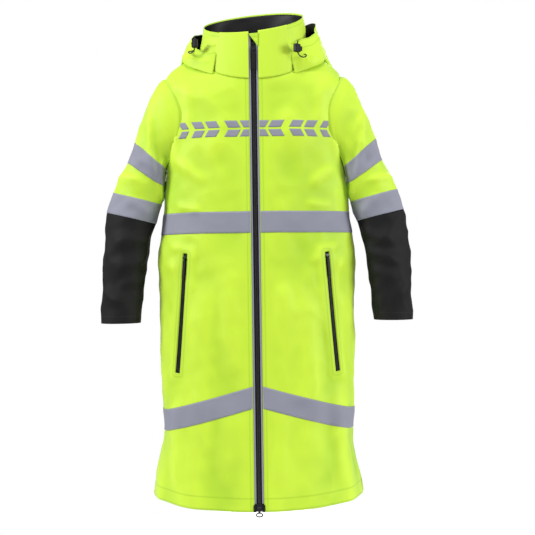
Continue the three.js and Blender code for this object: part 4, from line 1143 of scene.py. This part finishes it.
# The garage's tip and its two corners under the rim, as x and length along the zip, how far it lies in front of the
# shell, and its own bulge.
GARAGE, GARAGE_LIFT, GARAGE_BULGE, GARAGE_THICK = ((11, 1074), (-11, 1104), (12, 1106)), 2.7, 0.5, 0.7
POCKET_TAPE_X, POCKET_TAPE_DEPTH, POCKET_TAPE_THICK, POCKET_TAPE_OVER = (0.5, 9), 1.1, 0.6, 4
POCKET_TOOTH, POCKET_PITCH, POCKET_CHAIN_DEPTH = (1.7, 1.7, 1.2), 2.0, 1.4


def strip(name, frame_of, xs, zs, depth, material, rows, thick, bulge=0.0, columns=6):
    """A straight strip of cloth in a zip's frame, across between xs and along between zs, which may bulge."""
    origin, across, inward, along = frame_of
    u, v = grid(columns, rows)
    x, z = mix(*sorted(xs), u), mix(*zs, v)
    y = depth - bulge * np.sin(math.pi * u)
    points = origin + x[..., None] * across + y[..., None] * inward + z[..., None] * along
    return cloth(name, points, material, thick)


def teeth(name, frame_of, zs, pitch, size, depth, side):
    """A row of moulded teeth along a zip tape. Size is across, through and along the zip."""
    origin, across, inward, along = frame_of
    bpy.ops.object.select_all(action="DESELECT")
    bpy.ops.mesh.primitive_cube_add(size=1)
    tooth = bpy.context.object
    tooth.scale = size
    bpy.ops.object.transform_apply(scale=True)
    bpy.ops.object.mode_set(mode="EDIT")
    bpy.ops.mesh.select_all(action="SELECT")
    bpy.ops.mesh.bevel(offset=0.22 * min(size), segments=1)
    bpy.ops.object.mode_set(mode="OBJECT")
    corners = np.array([v.co[:] for v in tooth.data.vertices]) + (side * (TOOTH_GAP + size[0] / 2), depth, 0)
    quads = [np.array(p.vertices) for p in tooth.data.polygons]
    bpy.data.objects.remove(tooth)
    count = int((zs[1] - zs[0]) / pitch)
    places = zs[0] + pitch * (np.arange(count) + (0.5 if side > 0 else 0.0))  # the two rows mesh
    vertices = [origin + c[0] * across + c[1] * inward + (z + c[2]) * along for z in places for c in corners]
    faces = [tuple(int(i) for i in k * len(corners) + q) for k in range(count) for q in quads]
    if np.dot(np.cross(across, inward), along) < 0:
        faces = [f[::-1] for f in faces]
    o = object_of(name, placed(vertices), faces, LOOK["teeth"])
    o.data.shade_flat()
    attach(o, "coat")


class COAT_OT_front_zip(Operator):
    """Front zip tapes and teeth, reflective piping and the zip garage"""
    bl_idname = "coat.front_zip"
    bl_label = "Front zip"

    def execute(self, context):
        lean = math.atan(FRONT_RAKE)
        frame_of = (np.array((0, -FRONT_DEPTH, 0)), np.array((1, 0, 0)),
                    np.array((0, math.cos(lean), -math.sin(lean))), np.array((0, math.sin(lean), math.cos(lean))))
        for side, name in SIDES:
            o = strip(f"woven_zip_tape_{name}", frame_of, [side * x for x in ZIP_TAPE_X], (1, ZIP_LENGTH),
                      ZIP_TAPE_DEPTH, LOOK["zip_tape"], ZIP_ROWS, ZIP_TAPE_THICK)
            hung(o, f"zip_tape_{name}", held="stretched", slot="black_cloth")
            teeth(f"acetal_teeth_{name}", frame_of, (2, ZIP_LENGTH - 2), settings().tooth_pitch, TOOTH, CHAIN_DEPTH,
                  side)
            o = strip(f"bead_piping_{name}", frame_of, [side * x for x in PIPING_X], PIPING_ENDS, PIPING_DEPTH,
                      LOOK["print"], ZIP_ROWS, LINING_THICK, PIPING_BULGE, columns=10)
            hung(o, f"zip_piping_{name}", held="stretched", slot="reflective")
        flap = strip("taffeta_storm_flap", frame_of, (-FLAP_HALF, FLAP_HALF), (3, ZIP_LENGTH - 2), FLAP_DEPTH,
                     LOOK["lining"], 200, LINING_THICK)
        hung(flap, held="stretched", slot="lining")
        u, v = grid(14, 14)
        tip, left, right = (np.array(p, float) for p in GARAGE)
        edge = mix(left, right, u[..., None])
        flat = mix(tip, edge, mix(0.02, 1, v)[..., None])
        depth = (-GARAGE_LIFT - GARAGE_BULGE * np.sin(math.pi * u) * v)[..., None]
        points = frame_of[0] + flat[..., :1] * frame_of[1] + flat[..., 1:] * frame_of[3] + depth * frame_of[2]
        hung(cloth("coated_zip_garage", points, LOOK["shell"], GARAGE_THICK), "zip_garage")
        return {"FINISHED"}


class COAT_OT_pocket_zips(Operator):
    """Pocket zip tapes and teeth"""
    bl_idname = "coat.pocket_zips"
    bl_label = "Pocket zips"

    def execute(self, context):
        middle, across, inward, along, length = POCKET
        for side, name in SIDES:
            flip = np.array((side, 1, 1))
            frame_of = (middle * flip, across * flip * side, inward * flip, along * flip)
            for edge, label in ((1, "outer"), (-1, "inner")):
                o = strip(f"woven_pocket_tape_{label}_{name}", frame_of, [edge * x for x in POCKET_TAPE_X],
                          (-length / 2 - POCKET_TAPE_OVER, length / 2 + POCKET_TAPE_OVER), POCKET_TAPE_DEPTH,
                          LOOK["zip_tape"], 60, POCKET_TAPE_THICK)
                hung(o, f"pocket_zip_{name}", held="stretched", slot="black_cloth")
                teeth(f"acetal_pocket_teeth_{label}_{name}", frame_of, (2 - length / 2, length / 2 - 2),
                      POCKET_PITCH, POCKET_TOOTH, POCKET_CHAIN_DEPTH, edge)
        return {"FINISHED"}


LOOP_STRAP, LOOP_HALF, LOOP_THICK = 7, 32, 1.2


class COAT_OT_hang_loop(Operator):
    """The hang loop inside the back neck"""
    bl_idname = "coat.hang_loop"
    bl_label = "Hang loop"

    def execute(self, context):
        u, v = grid(40, 4)
        turn = math.pi * (1 - u)
        x = mix(LOOP_HALF - LOOP_STRAP, LOOP_HALF, v) * np.cos(turn)
        z = mix(LOOP_RISE - LOOP_STRAP, LOOP_RISE, v) * np.sin(turn)
        c, s = math.cos(LOOP_LEAN), math.sin(LOOP_LEAN)
        y = 0 * x - 1.3  # just off its CAD solid's front face
        points = np.stack([x, LOOP_FOOT_Y + y * c - z * s, LOOP_FOOT_H + y * s + z * c], -1)
        o = cloth("woven_hang_loop", points, LOOK["zip_tape"], LOOP_THICK)
        hung(o, "hang_loop", slot="black_cloth")
        return {"FINISHED"}


class COAT_OT_hard_finishes(Operator):
    """Finishes of the sliders, pulls, ring, end patches and cord locks"""
    bl_idname = "coat.hard_finishes"
    bl_label = "Hard finishes"

    def execute(self, context):
        finishes = {("zip_slider", "pocket_slider", "zip_ring"): "zinc",
                    ("zip_pull", "pocket_pull", "zip_end"): "pull", ("cord_lock",): "lock"}
        for name, o in frame["nodes"].items():
            for starts, finish in finishes.items():
                if name.startswith(starts):
                    o.data.materials.clear()
                    o.data.materials.append(LOOK[finish])
        return {"FINISHED"}


OPERATORS = (COAT_OT_stage, COAT_OT_cords, COAT_OT_body, COAT_OT_lining, COAT_OT_tapes, COAT_OT_chevrons,
             COAT_OT_sleeves, COAT_OT_collar, COAT_OT_hood, COAT_OT_front_zip, COAT_OT_pocket_zips,
             COAT_OT_hang_loop, COAT_OT_hard_finishes)


class COAT_PT_panel(Panel):
    """Lists the coat's pieces in the sidebar"""
    bl_idname = "COAT_PT_panel"
    bl_label = "Foul weather coat"
    bl_space_type = "VIEW_3D"
    bl_region_type = "UI"
    bl_category = "Coat"

    def draw(self, context):
        for key in CoatSettings.__annotations__:
            self.layout.prop(context.scene.coat, key)
        for operator in OPERATORS:
            self.layout.operator(operator.bl_idname)


def register():
    for item in (CoatSettings, *OPERATORS, COAT_PT_panel):
        bpy.utils.register_class(item)
    bpy.types.Scene.coat = PointerProperty(type=CoatSettings)


def unregister():
    del bpy.types.Scene.coat
    for item in (COAT_PT_panel, *reversed(OPERATORS), CoatSettings):
        bpy.utils.unregister_class(item)


def main():
    register()
    make_materials(settings())
    for operator in OPERATORS:
        group, name = operator.bl_idname.split(".")
        getattr(getattr(bpy.ops, group), name)()


if __name__ == "__main__":
    main()
